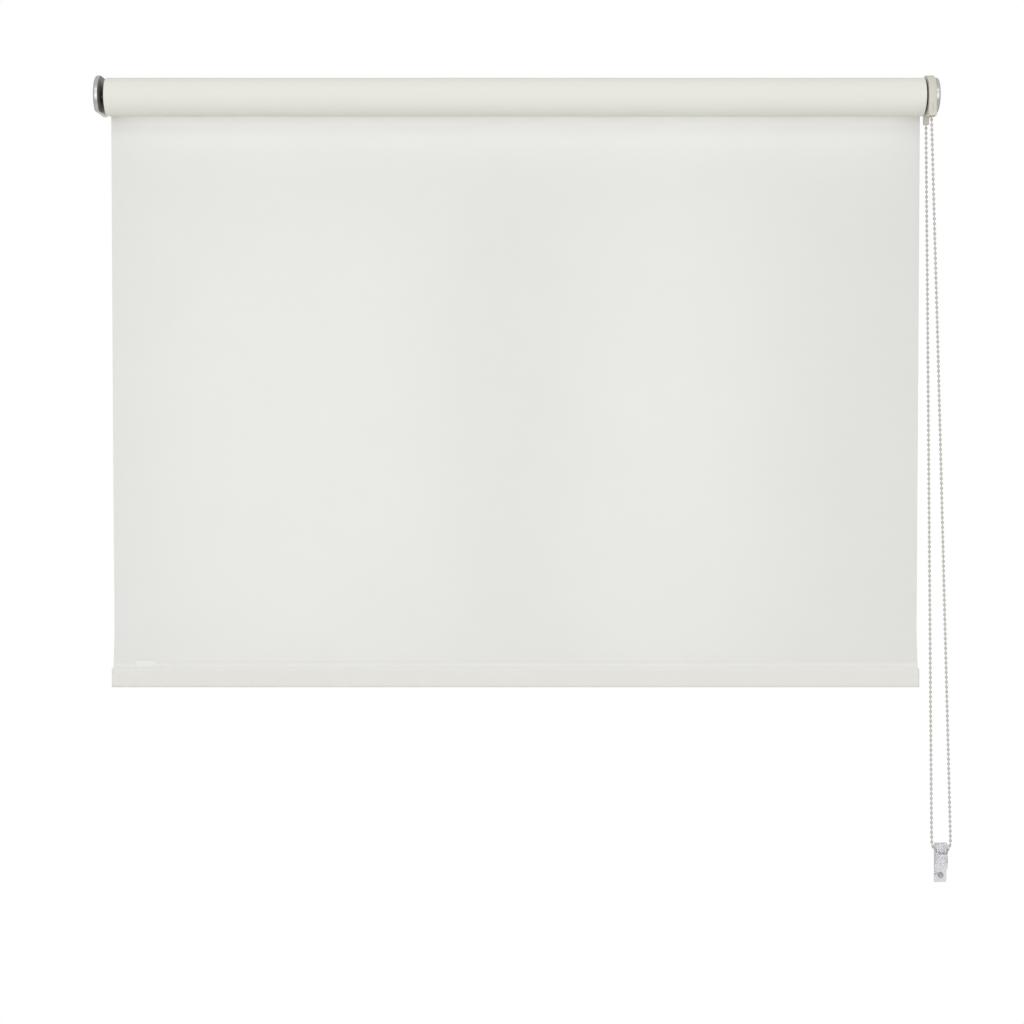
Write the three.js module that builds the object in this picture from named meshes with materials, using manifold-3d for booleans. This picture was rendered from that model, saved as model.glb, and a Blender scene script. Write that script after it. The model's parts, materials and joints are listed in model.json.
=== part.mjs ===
// A chain-operated roller blind: an aluminium tube with its roll of fabric between two wall
// brackets, a bead chain that turns it through a wrap-spring clutch, a weighted hem, and a clear
// chain holder screwed to the wall. Millimetres.
// The origin is on the wall plane, midway along the roll and level with the roller's axis.
// +X runs to the chain side, -Y into the room, +Z up.
import * as THREE from 'three';
import { mergeVertices } from 'three/addons/utils/BufferGeometryUtils.js';
import Module from 'manifold-3d';

const wasm = await Module();
wasm.setup();

// ---------------------------------------------------------------- driving dimensions
const FABRIC_WIDTH = 1000; // the roll and the hanging cloth
const HEM_DROP = 726; // roller axis down to the bottom of the hem
const AXIS_TO_WALL = 35;

// Clearances
const GAP = 0.3; // between pieces that touch
const RUNNING = 0.4; // round a shaft that turns or slides

// Roller
const ROLL_RADIUS = 23.5;
const TUBE_RADIUS = 19;
const TUBE_WALL = 1.1;
const TUBE_INSET = 1; // the tube ends inside the fabric's edges
const SPLINE_WIDTH = 4; // plastic strip that holds the fabric's top edge in the tube's channel
const SPLINE_DEPTH = 1.8;

// Cloth and hem
const CLOTH_THICKNESS = 0.5;
const BAR_HEIGHT = 22;
const BAR_THICKNESS = 6.4;
const BAR_WALL = 1.2;
const WELD_HEIGHT = 8; // the flat welded strip above the bar's pocket
const HEM_INSET = 1; // the bar's caps end inside the fabric's edges
const BAR_CAP_FLANGE = 1.4;
const BAR_CAP_PLUG = 12;
const LABEL_WIDTH = 26;
const LABEL_HEIGHT = 9;
const LABEL_THICKNESS = 0.3;
const LABEL_FROM_EDGE = 30; // fabric's left edge to the label
const LABEL_ABOVE_WELD = 2;

// Wall brackets
const PLATE = 2; // folded steel
const BRACKET_FOOT = 24; // how far the wall foot reaches behind the roll
const FOOT_MARGIN = 3; // the foot is this much shorter than the arm above and below
const FOOT_SCREW_SPACING = 22;
const FOOT_SCREW_INSET = 7; // from the foot's free edge

// Left end: cover, bush and sprung pin
const LEFT_GAP = 7; // roll end to the cover's rim
const LEFT_COVER_DEPTH = 5.8;
const LEFT_COVER_RADIUS = 25;
const LEFT_COVER_RISE = 1.2; // the cover's centre above the roller axis
const LEFT_COVER_FLAT = 19.5; // the flat underside below the roller axis
const COVER_WALL = 1.4;
const COVER_EDGE = 1.6; // rounding of the cover's rim
const COVER_CORNER = 7; // where the round front meets the flat underside
const COVER_OFF_WALL = 0.8;
const PIN_RADIUS = 3.1;
const PIN_COLLAR = 1.9; // how far the collar stands out all round
const PIN_COLLAR_LENGTH = 12;
const PIN_TAIL_STEP = 0.5; // the tail inside the spring is this much thinner than the nose
const PIN_TAIL_LENGTH = 12;
const BUSH_WALL = 1.6;
const BUSH_FLANGE = 1.2;
const IDLE_SPRING_WIRE = 0.55; // half the wire's thickness
const IDLE_SPRING_TURNS = 6;

// Plugs in the tube's ends
const PLUG_LENGTH = 40;
const PLUG_WALL = 2;
const PLUG_END = 2.2;
const PLUG_FLANGE = 1.3;
const IDLE_BOSS_WALL = 2.6;
const SPRING_SEAT = 3;

// Right end: clutch, guard and cover
const GUARD_RADIUS = 24.5;
const GUARD_RISE = 1.75; // the guard's centre above the roller axis
const GUARD_WIDTH = 9.1;
const GUARD_RIM = 1.6;
const GUARD_FACE = 1;
const RIGHT_GAP = 1.3; // roll end to the guard
const SPOUT_DEPTH = 31.5; // the rear spout's mouth below the roller axis
const SPOUT_WIDTH = 6.2;
const SPOUT_WALL = 1.1;
const LEG_DEPTH = 26; // the front leg's mouth below the roller axis
const GUARD_SLIT_WIDTH = 0.9; // shallow slit in the leg's front
const GUARD_SLIT_TOP = 11.3;
const GUARD_SLIT_BOTTOM = 21.6;
const GUARD_SLIT_DEPTH = 0.7;
const RIGHT_COVER_DEPTH = 5.6;
const RIGHT_COVER_RADIUS = 22;
const RIGHT_COVER_RISE = 1.5;
const RIGHT_COVER_FLAT = 20.5;
const HUB_RADIUS = 7;
const HUB_LENGTH = 49; // the hub's round shaft, from the guard's outer face inwards
const HUB_SQUARE = 9.6;
const CLUTCH_SCREW_RADIUS = 2;
const CLUTCH_SCREW_LENGTH = 16;
const CLUTCH_SCREW_HEAD = 4.5; // radius
const CLUTCH_SCREW_HEAD_HEIGHT = 1.3;
const HUB_HOLE_SPARE = 2; // the hub's hole runs on past the screw's tip
const HUB_GROOVE_INSET = 1.5; // hub's inner end to the ring's groove
const HUB_GROOVE_WIDTH = 1.8;
const HUB_GROOVE_DEPTH = 1;
const RETAINING_RING_PROUD = 2.4; // beyond the hub's radius
const RETAINING_RING_MOUTH = 4;
const WRAP_SPRING_WIRE = 0.45; // half the wire's thickness
const WRAP_SPRING_LENGTH = 13;
const WRAP_SPRING_TURNS = 5;
const WRAP_SPRING_SPACE = 2; // before each spring
const WHEEL_BOSS_WALL = 1.7;
const WHEEL_WIDTH = 6.4;
const SLEEVE_BOSS_WALL = 2;

// Bead chain
const BEAD_DIAMETER = 4.5;
const BEAD_PITCH = 6;
const WHEEL_POCKETS = 16;
const POCKET_RADIUS = 2.75;

// Chain holder
const HOLDER_WIDTH = 15;
const HOLDER_HEIGHT = 48.4;
const HOLDER_TOP = -920.5;
const HOLDER_X = 527.3;
const HOLDER_BACK = 3;
const HOLDER_SEAM = 24.5; // from the top down to the cover's lower edge
const HOLDER_BLOCK = 31.5; // from the top down to the step above the screw
const HOLDER_COVER = 2.6;
const HOLDER_SADDLE_RADIUS = 7.4;
const HOLDER_GROOVE_RADIUS = 15.2;
const HOLDER_CLIP = 1.1;
const HOLDER_CLIP_HEIGHT = 8;
const HOLDER_SCREW_UP = 8.7; // from the bottom edge to the screw

// Wall screws
const SCREW_RADIUS = 1.9;
const SCREW_LENGTH = 28;
const SCREW_HEAD_RADIUS = 3.7;
const SCREW_HEAD = 2.2;
const SCREW_CROSS = 4.4; // length of the cross recess
const SCREW_CROSS_WIDTH = 0.9;

// Roundness of the faceted solids
const FINE = 48;
const ROUND = 24;
const SMALL = 12;

// The free chain, in millimetres: down the front strand, round under the holder's saddle, and up
// the back strand to the rear spout.
const FRONT_STRAND = [
  [505.85, -50.3, -0.5],
  [505.85, -50.2, -20],
  [507.6, -47.9, -70],
  [517.6, -34.8, -325],
  [528.5, -20.4, -625],
  [538.5, -7.2, -900],
];
const HOLDER_LOOP = [
  [538.5, -7.2, -900.3],
  [538.8, -7, -913],
  [538.7, -7, -920.5],
  [536.6, -7, -926.6],
  [533, -7, -931],
  [528.3, -7, -932.8],
  [523, -7, -931],
  [518.6, -7, -926.6],
  [516, -7, -920.5],
  [515.6, -7, -913],
  [515.4, -7.2, -900.3],
];
const BACK_STRAND = [
  [515.4, -7.2, -900],
  [512.4, -11.1, -625],
  [509.2, -15.2, -325],
  [506.3, -19.2, -80],
  [505.85, -19.7, -33],
  [505.85, -19.7, -0.5],
];

// ---------------------------------------------------------------- sizes that follow
const HALF_WIDTH = FABRIC_WIDTH / 2;
const TUBE_END = HALF_WIDTH - TUBE_INSET;
const CHANNEL_HALF = SPLINE_WIDTH / 2 + GAP;
const CHANNEL_FLOOR = TUBE_RADIUS - SPLINE_DEPTH - GAP;
const PLUG_RADIUS = TUBE_RADIUS - TUBE_WALL - GAP;
const FLANGE_RADIUS = TUBE_RADIUS - GAP / 3;
const ROLL_BORE = TUBE_RADIUS + GAP;
const CLOTH_FRONT = -AXIS_TO_WALL + ROLL_RADIUS + GAP;
const CLOTH_MIDDLE = CLOTH_FRONT + CLOTH_THICKNESS / 2;
const POCKET_INNER_HEIGHT = BAR_HEIGHT + 2 * GAP;
const POCKET_INNER_THICKNESS = BAR_THICKNESS + 2 * GAP;
const POCKET_HEIGHT = POCKET_INNER_HEIGHT + 2 * CLOTH_THICKNESS;
const POCKET_THICKNESS = POCKET_INNER_THICKNESS + 2 * CLOTH_THICKNESS;
const BAR_MIDDLE = -HEM_DROP + POCKET_HEIGHT / 2;
const HEM_TOP = -HEM_DROP + POCKET_HEIGHT + WELD_HEIGHT;
const HEM_END = HALF_WIDTH - HEM_INSET;
const POCKET_END = HEM_END - BAR_CAP_FLANGE - GAP;
const LEFT_RIM = -HALF_WIDTH - LEFT_GAP;
const LEFT_PLATE = LEFT_RIM - GAP; // inner face of the left arm
const PLUG_FACE = TUBE_END + GAP + PLUG_FLANGE; // outer face of either plug
const GUARD_START = HALF_WIDTH + RIGHT_GAP;
const GUARD_END = GUARD_START + GUARD_WIDTH;
const WHEEL_X = GUARD_START + GUARD_WIDTH / 2;
const RIGHT_PLATE = GUARD_END + GAP; // inner face of the right arm
const PIN_COLLAR_RADIUS = PIN_RADIUS + PIN_COLLAR;
const PIN_TAIL_RADIUS = PIN_RADIUS - PIN_TAIL_STEP;
const SPRING_BORE = PIN_COLLAR_RADIUS + RUNNING; // in the idle plug
const WRAP_SPRING_RADIUS = HUB_RADIUS + RUNNING + WRAP_SPRING_WIRE;
const WHEEL_BORE = WRAP_SPRING_RADIUS + WRAP_SPRING_WIRE + RUNNING;
const WHEEL_BOSS_RADIUS = WHEEL_BORE + WHEEL_BOSS_WALL;
const PITCH_RADIUS = (BEAD_PITCH * WHEEL_POCKETS) / (2 * Math.PI);
const WHEEL_RADIUS = PITCH_RADIUS + BEAD_DIAMETER / 2 + RUNNING;
const GROOVE_RADIUS = BEAD_DIAMETER / 2 + RUNNING;
const HUB_END = RIGHT_PLATE + PLATE + GAP; // outer end of the hub's square

// ---------------------------------------------------------------- materials
const finish = (color, roughness, metalness = 0) =>
  new THREE.MeshStandardMaterial({ color, roughness, metalness });
const FABRIC = () => finish(0xe9e9e2, 0.9);
const SATIN_SILVER = () => finish(0xb9b9b6, 0.35, 0.9);
const GREY_PLASTIC = () => finish(0xc8c4b9, 0.5);
const WHITE_PLASTIC = () => finish(0xe4e4de, 0.45);
const BLACK_PLASTIC = () => finish(0x1d1c1b, 0.5);
const STEEL = () => finish(0x9a9a98, 0.4, 1);
const DARK_STEEL = () => finish(0x3a3936, 0.5, 0.8);
const ALUMINIUM = () => finish(0xc2c4c6, 0.35, 1);
const CHAIN_PLASTIC = () => finish(0xcfcfca, 0.4);
const CLEAR_PLASTIC = () => {
  const clear = finish(0xe6e6ee, 0.15);
  clear.transparent = true;
  clear.opacity = 0.5;
  return clear;
};
const LABEL_STOCK = () => finish(0xf0f0ec, 0.7);

// ---------------------------------------------------------------- shape helpers
const AXIS_X = new THREE.Vector3(1, 0, 0);
const AXIS_Y = new THREE.Vector3(0, 1, 0);
const AXIS_Z = new THREE.Vector3(0, 0, 1);
// An outline drawn in (y, z) and extruded along +X.
const ACROSS = new THREE.Matrix4().makeBasis(AXIS_Y, AXIS_Z, AXIS_X);
// An outline drawn in (x, z) and extruded along -Y, into the room.
const OFF_WALL = new THREE.Matrix4().makeBasis(AXIS_X, AXIS_Z, AXIS_Y.clone().negate());

// Shared corners joined, collapsed triangles dropped and every face turned outwards.
function closed(geometry) {
  const bare = geometry.clone();
  bare.deleteAttribute('normal');
  bare.deleteAttribute('uv');
  const merged = mergeVertices(bare, 1e-4);
  const corners = merged.index.array;
  const points = merged.attributes.position;
  const kept = [];
  let volume = 0;
  const [a, b, c] = [new THREE.Vector3(), new THREE.Vector3(), new THREE.Vector3()];
  for (let i = 0; i < corners.length; i += 3) {
    const [p, q, r] = [corners[i], corners[i + 1], corners[i + 2]];
    if (p === q || q === r || r === p) continue;
    kept.push(p, q, r);
    a.fromBufferAttribute(points, p);
    b.fromBufferAttribute(points, q);
    c.fromBufferAttribute(points, r);
    volume += a.dot(b.cross(c));
  }
  merged.setIndex(volume < 0 ? kept.reverse() : kept);
  return merged;
}

function solid(geometry) {
  const shape = closed(geometry);
  const mesh = new wasm.Mesh({
    numProp: 3,
    vertProperties: Float32Array.from(shape.attributes.position.array),
    triVerts: Uint32Array.from(shape.index.array),
  });
  return new wasm.Manifold(mesh);
}

function geometryOf(shape) {
  const mesh = shape.getMesh();
  const geometry = new THREE.BufferGeometry();
  geometry.setAttribute('position', new THREE.BufferAttribute(mesh.vertProperties, 3));
  geometry.setIndex(Array.from(mesh.triVerts));
  return geometry;
}

const join = (...shapes) => shapes.reduce((whole, next) => whole.add(next));
const cut = (whole, ...tools) => tools.reduce((left, tool) => left.subtract(tool), whole);

function block(x0, x1, y0, y1, z0, z1) {
  const box = new THREE.BoxGeometry(x1 - x0, y1 - y0, z1 - z0);
  return box.translate((x0 + x1) / 2, (y0 + y1) / 2, (z0 + z1) / 2);
}

// A solid of revolution about a line along X at (y, z), from a profile of [x, radius] points.
function turned(profile, sides, y = -AXIS_TO_WALL, z = 0) {
  const points = profile.map(([x, radius]) => new THREE.Vector2(radius, x));
  return closed(new THREE.LatheGeometry(points, sides).rotateZ(-Math.PI / 2).translate(0, y, z));
}

function rod(x0, x1, radius, sides, y, z) {
  return turned([[x0, 0], [x0, radius], [x1, radius], [x1, 0]], sides, y, z);
}

function ring(x0, x1, inner, outer, sides, y, z) {
  const profile = [[x0, inner], [x0, outer], [x1, outer], [x1, inner], [x0, inner]];
  return turned(profile, sides, y, z);
}

function across(outline, x0, x1) {
  const sheet = new THREE.ExtrudeGeometry(outline, {
    depth: x1 - x0,
    bevelEnabled: false,
    curveSegments: SMALL,
  });
  return sheet.applyMatrix4(ACROSS).translate(x0, 0, 0);
}

function offWall(outline, y0, y1) {
  const sheet = new THREE.ExtrudeGeometry(outline, {
    depth: y0 - y1,
    bevelEnabled: false,
    curveSegments: SMALL,
  });
  return sheet.applyMatrix4(OFF_WALL).translate(0, y0, 0);
}

function circleOutline(radius, y, z) {
  const outline = new THREE.Shape();
  outline.absarc(y, z, radius, 0, 2 * Math.PI, false);
  return outline;
}

// A flat bar's section with round edges, upright in (y, z).
function ovalOutline(height, thickness, y, z) {
  const radius = thickness / 2;
  const rise = height / 2 - radius;
  const outline = new THREE.Shape();
  outline.absarc(y, z + rise, radius, 0, Math.PI, false);
  outline.absarc(y, z - rise, radius, Math.PI, 2 * Math.PI, false);
  outline.closePath();
  return outline;
}

function tube(curve, radius, sides, steps) {
  const section = new THREE.Shape();
  for (let i = 0; i <= sides; i += 1) {
    const turn = (2 * Math.PI * i) / sides;
    const point = [radius * Math.cos(turn), radius * Math.sin(turn)];
    if (i === 0) section.moveTo(...point);
    else section.lineTo(...point);
  }
  return closed(new THREE.ExtrudeGeometry(section, { extrudePath: curve, steps }));
}

// A coil about the roller's axis, from x0 to x1.
class Coil extends THREE.Curve {
  constructor(x0, x1, radius, turns) {
    super();
    Object.assign(this, { x0, x1, radius, turns });
  }
  getPoint(share, target = new THREE.Vector3()) {
    const angle = 2 * Math.PI * this.turns * share;
    const y = -AXIS_TO_WALL + this.radius * Math.cos(angle);
    return target.set(this.x0 + (this.x1 - this.x0) * share, y, this.radius * Math.sin(angle));
  }
}

function coil(x0, x1, radius, wire, turns) {
  const path = new Coil(x0 + wire, x1 - wire, radius, turns);
  return tube(path, wire, 5, turns * 16);
}

const blind = new THREE.Group();
function piece(name, shape, material) {
  const geometry = shape.getMesh ? geometryOf(shape) : shape;
  const mesh = new THREE.Mesh(geometry, material);
  mesh.name = name;
  blind.add(mesh);
}

// ---------------------------------------------------------------- wall screws
// A pan-head screw with a cross recess, driven along +Y into the wall at (x, z).
function wallScrew(x, z, seatY) {
  const face = seatY - GAP;
  const tip = SCREW_RADIUS * 1.5;
  const profile = [
    [0, -SCREW_HEAD],
    [SCREW_HEAD_RADIUS * 0.6, -SCREW_HEAD],
    [SCREW_HEAD_RADIUS, -SCREW_HEAD * 0.45],
    [SCREW_HEAD_RADIUS, 0],
    [SCREW_RADIUS, 0],
    [SCREW_RADIUS, SCREW_LENGTH - tip],
    [0, SCREW_LENGTH],
  ].map(([radius, y]) => new THREE.Vector2(radius, y));
  const body = solid(new THREE.LatheGeometry(profile, SMALL).translate(x, face, z));
  const [reach, slot] = [SCREW_CROSS / 2, SCREW_CROSS_WIDTH / 2];
  const [top, floor] = [face - SCREW_HEAD - 1, face - SCREW_HEAD * 0.4];
  return cut(
    body,
    solid(block(x - reach, x + reach, top, floor, z - slot, z + slot)),
    solid(block(x - slot, x + slot, top, floor, z - reach, z + reach)),
  );
}

function wallScrewHole(x, z, thickness) {
  const radius = SCREW_RADIUS + RUNNING;
  const drill = new THREE.CylinderGeometry(radius, radius, thickness + 2, SMALL);
  return solid(drill.translate(x, -thickness / 2, z));
}

// ---------------------------------------------------------------- brackets and their covers
// A side plate's outline: round in front of the roller's axis, flat underneath, straight on top,
// and open towards the wall. inset shrinks it evenly for what fits inside.
function armOutline({ radius, rise, flat }, inset, wallY) {
  const r = radius - inset;
  const corner = COVER_CORNER - inset;
  const bottom = -flat + inset;
  const centre = [-AXIS_TO_WALL, rise];
  // The corner's own centre lies between the round front and the flat underside.
  const drop = bottom + corner - rise;
  const back = Math.sqrt((r - corner) ** 2 - drop ** 2);
  const cornerY = centre[0] - back;
  const meet = Math.PI + Math.atan2(-drop, back);
  const outline = new THREE.Shape();
  outline.moveTo(wallY, rise + r);
  outline.lineTo(centre[0], rise + r);
  outline.absarc(centre[0], centre[1], r, Math.PI / 2, meet, false);
  outline.absarc(cornerY, bottom + corner, corner, meet, 1.5 * Math.PI, false);
  outline.lineTo(wallY, bottom);
  outline.closePath();
  return outline;
}

const LEFT_ARM = { radius: LEFT_COVER_RADIUS, rise: LEFT_COVER_RISE, flat: LEFT_COVER_FLAT };
const RIGHT_ARM = { radius: RIGHT_COVER_RADIUS, rise: RIGHT_COVER_RISE, flat: RIGHT_COVER_FLAT };

// A thin shell with a rounded rim. open is the x of its open edge, and side is +1 when the shell's
// closed face looks towards +X.
function cover(arm, open, depth, side) {
  const rounded = new THREE.ExtrudeGeometry(armOutline(arm, COVER_EDGE, -COVER_OFF_WALL - COVER_EDGE), {
    depth: depth - 2 * COVER_EDGE,
    bevelThickness: COVER_EDGE,
    bevelSize: COVER_EDGE,
    bevelSegments: 2,
    curveSegments: SMALL,
  });
  rounded.applyMatrix4(ACROSS).translate(Math.min(open, open + side * depth) + COVER_EDGE, 0, 0);
  const inside = armOutline(arm, COVER_WALL, GAP);
  const [from, to] = [open - side, open + side * (depth - COVER_WALL)];
  return cut(solid(rounded), solid(across(inside, Math.min(from, to), Math.max(from, to))));
}

// A folded steel bracket: an arm beside the roll and a foot behind it. face is the arm's side
// towards the roll, and side is +1 at the right end.
function bracket(arm, face, side, openings) {
  const inset = COVER_WALL + RUNNING;
  const outer = face + side * PLATE;
  const footEnd = outer - side * (BRACKET_FOOT + PLATE);
  const low = -arm.flat + inset + FOOT_MARGIN;
  const high = arm.rise + arm.radius - inset - FOOT_MARGIN;
  const plate = solid(across(armOutline(arm, inset, 0), Math.min(face, outer), Math.max(face, outer)));
  const foot = solid(block(Math.min(outer, footEnd), Math.max(outer, footEnd), -PLATE, 0, low, high));
  return cut(join(plate, foot), ...openings);
}

// The two wall screws of a bracket, as [x, z] centres.
function footScrews(arm, face, side) {
  const x = face - side * (BRACKET_FOOT - FOOT_SCREW_INSET);
  const middle = (arm.rise + arm.radius - arm.flat) / 2;
  return [1, -1].map((up) => [x, middle + (up * FOOT_SCREW_SPACING) / 2]);
}

function addBracketScrews(prefix, centres) {
  piece(`${prefix}_wall_screw_upper`, wallScrew(...centres[0], -PLATE), STEEL());
  piece(`${prefix}_wall_screw_lower`, wallScrew(...centres[1], -PLATE), STEEL());
}

// ---------------------------------------------------------------- left end
function leftEnd() {
  const centres = footScrews(LEFT_ARM, LEFT_PLATE, -1);
  const bushRadius = PIN_RADIUS + GAP + BUSH_WALL;
  const bushHole = solid(rod(LEFT_PLATE - PLATE - 1, LEFT_PLATE + 1, bushRadius + GAP, ROUND));
  const holes = centres.map(([x, z]) => wallScrewHole(x, z, PLATE));
  piece('left_bracket', bracket(LEFT_ARM, LEFT_PLATE, -1, [bushHole, ...holes]), DARK_STEEL());
  piece('left_cover', cover(LEFT_ARM, LEFT_RIM, LEFT_COVER_DEPTH, -1), SATIN_SILVER());
  addBracketScrews('left', centres);

  // The bush stands in the arm's hole, with its flange on the roll's side.
  const flangeStart = LEFT_PLATE + GAP;
  const bush = [
    [LEFT_PLATE - PLATE - BUSH_FLANGE, PIN_RADIUS + GAP],
    [LEFT_PLATE - PLATE - BUSH_FLANGE, bushRadius],
    [flangeStart, bushRadius],
    [flangeStart, bushRadius + BUSH_WALL],
    [flangeStart + BUSH_FLANGE, bushRadius + BUSH_WALL],
    [flangeStart + BUSH_FLANGE, PIN_RADIUS + GAP],
    [LEFT_PLATE - PLATE - BUSH_FLANGE, PIN_RADIUS + GAP],
  ];
  piece('idle_bush', turned(bush, ROUND), BLACK_PLASTIC());
}

// ---------------------------------------------------------------- plugs in the tube
// Cuts the keyway that the tube's inner rib slides into.
function keyway(x0, x1) {
  const half = CHANNEL_HALF + TUBE_WALL + GAP;
  const floor = CHANNEL_FLOOR - TUBE_WALL - GAP;
  const middle = -AXIS_TO_WALL;
  return solid(block(x0, x1, middle - half, middle + half, floor, TUBE_RADIUS + 1));
}

// A tube plug: outer barrel, inner boss, four webs and an end disc with a flange. side is +1 for
// the plug at the right end.
function plug(side, bossRadius, bore, endBore) {
  const face = side * PLUG_FACE;
  const inner = face - side * (PLUG_LENGTH + PLUG_FLANGE);
  const flangeBack = face - side * PLUG_FLANGE;
  const discBack = face - side * PLUG_END;
  const span = (a, b) => [Math.min(a, b), Math.max(a, b)];
  const parts = [
    solid(ring(...span(face, inner), PLUG_RADIUS - PLUG_WALL, PLUG_RADIUS, FINE)),
    solid(ring(...span(face, flangeBack), PLUG_RADIUS - 1, FLANGE_RADIUS, FINE)),
    solid(rod(...span(face, inner), bossRadius, ROUND)),
    solid(rod(...span(face, discBack), PLUG_RADIUS - 1, ROUND)),
  ];
  const reach = PLUG_RADIUS - PLUG_WALL / 2;
  for (const turn of [Math.PI / 4, -Math.PI / 4]) {
    const web = block(...span(face, inner), -reach, reach, -PLUG_WALL / 2, PLUG_WALL / 2);
    parts.push(solid(web.rotateX(turn).translate(0, -AXIS_TO_WALL, 0)));
  }
  return cut(
    join(...parts),
    solid(rod(...span(discBack, inner - side), bore, ROUND)),
    solid(rod(...span(face + side, inner), endBore, ROUND)),
    keyway(...span(flangeBack, inner - side)),
  );
}

function idlePlug() {
  const bossRadius = SPRING_BORE + IDLE_BOSS_WALL;
  piece('idle_plug', plug(-1, bossRadius, SPRING_BORE, PIN_RADIUS + RUNNING), BLACK_PLASTIC());

  // The pin's collar rests behind the plug's end disc, and its nose reaches through the bush.
  const collarFront = -PLUG_FACE + PLUG_END + GAP;
  const collarBack = collarFront + PIN_COLLAR_LENGTH;
  const nose = LEFT_RIM - LEFT_COVER_DEPTH + COVER_WALL + RUNNING;
  const pin = [
    [nose, 0],
    [nose, PIN_RADIUS - 1],
    [nose + 1, PIN_RADIUS],
    [collarFront, PIN_RADIUS],
    [collarFront, PIN_COLLAR_RADIUS],
    [collarBack, PIN_COLLAR_RADIUS],
    [collarBack, PIN_TAIL_RADIUS],
    [collarBack + PIN_TAIL_LENGTH, PIN_TAIL_RADIUS],
    [collarBack + PIN_TAIL_LENGTH, 0],
  ];
  piece('idle_pin', turned(pin, ROUND), STEEL());

  const plugEnd = -PLUG_FACE + PLUG_LENGTH + PLUG_FLANGE;
  const seatStart = plugEnd - SPRING_SEAT;
  const seat = ring(seatStart, plugEnd, PIN_TAIL_RADIUS + RUNNING, SPRING_BORE - GAP, ROUND);
  piece('spring_seat', seat, BLACK_PLASTIC());

  const springRadius = SPRING_BORE - RUNNING - IDLE_SPRING_WIRE;
  const [springStart, springEnd] = [collarBack + GAP, seatStart - GAP];
  const spring = coil(springStart, springEnd, springRadius, IDLE_SPRING_WIRE, IDLE_SPRING_TURNS);
  piece('idle_spring', spring, STEEL());
}

// ---------------------------------------------------------------- roller
function roller() {
  const middle = -AXIS_TO_WALL;
  const ribHalf = CHANNEL_HALF + TUBE_WALL;
  const ribTop = TUBE_RADIUS - TUBE_WALL / 2;
  const wall = ring(-TUBE_END, TUBE_END, TUBE_RADIUS - TUBE_WALL, TUBE_RADIUS, FINE);
  const ribFloor = CHANNEL_FLOOR - TUBE_WALL;
  const rib = block(-TUBE_END, TUBE_END, middle - ribHalf, middle + ribHalf, ribFloor, ribTop);
  const past = TUBE_END + 1;
  const [channelBack, channelFront] = [middle - CHANNEL_HALF, middle + CHANNEL_HALF];
  const channel = block(-past, past, channelBack, channelFront, CHANNEL_FLOOR, TUBE_RADIUS + 1);
  piece('roller_tube', cut(join(solid(wall), solid(rib)), solid(channel)), ALUMINIUM());

  const splineHalf = SPLINE_WIDTH / 2;
  const splineFloor = CHANNEL_FLOOR + GAP;
  const splineTop = splineFloor + SPLINE_DEPTH - GAP;
  const [splineBack, splineFront] = [middle - splineHalf, middle + splineHalf];
  const spline = block(-TUBE_END, TUBE_END, splineBack, splineFront, splineFloor, splineTop);
  piece('fabric_spline', spline, WHITE_PLASTIC());

  piece('fabric_roll', ring(-HALF_WIDTH, HALF_WIDTH, ROLL_BORE, ROLL_RADIUS, FINE), FABRIC());
}

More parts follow.
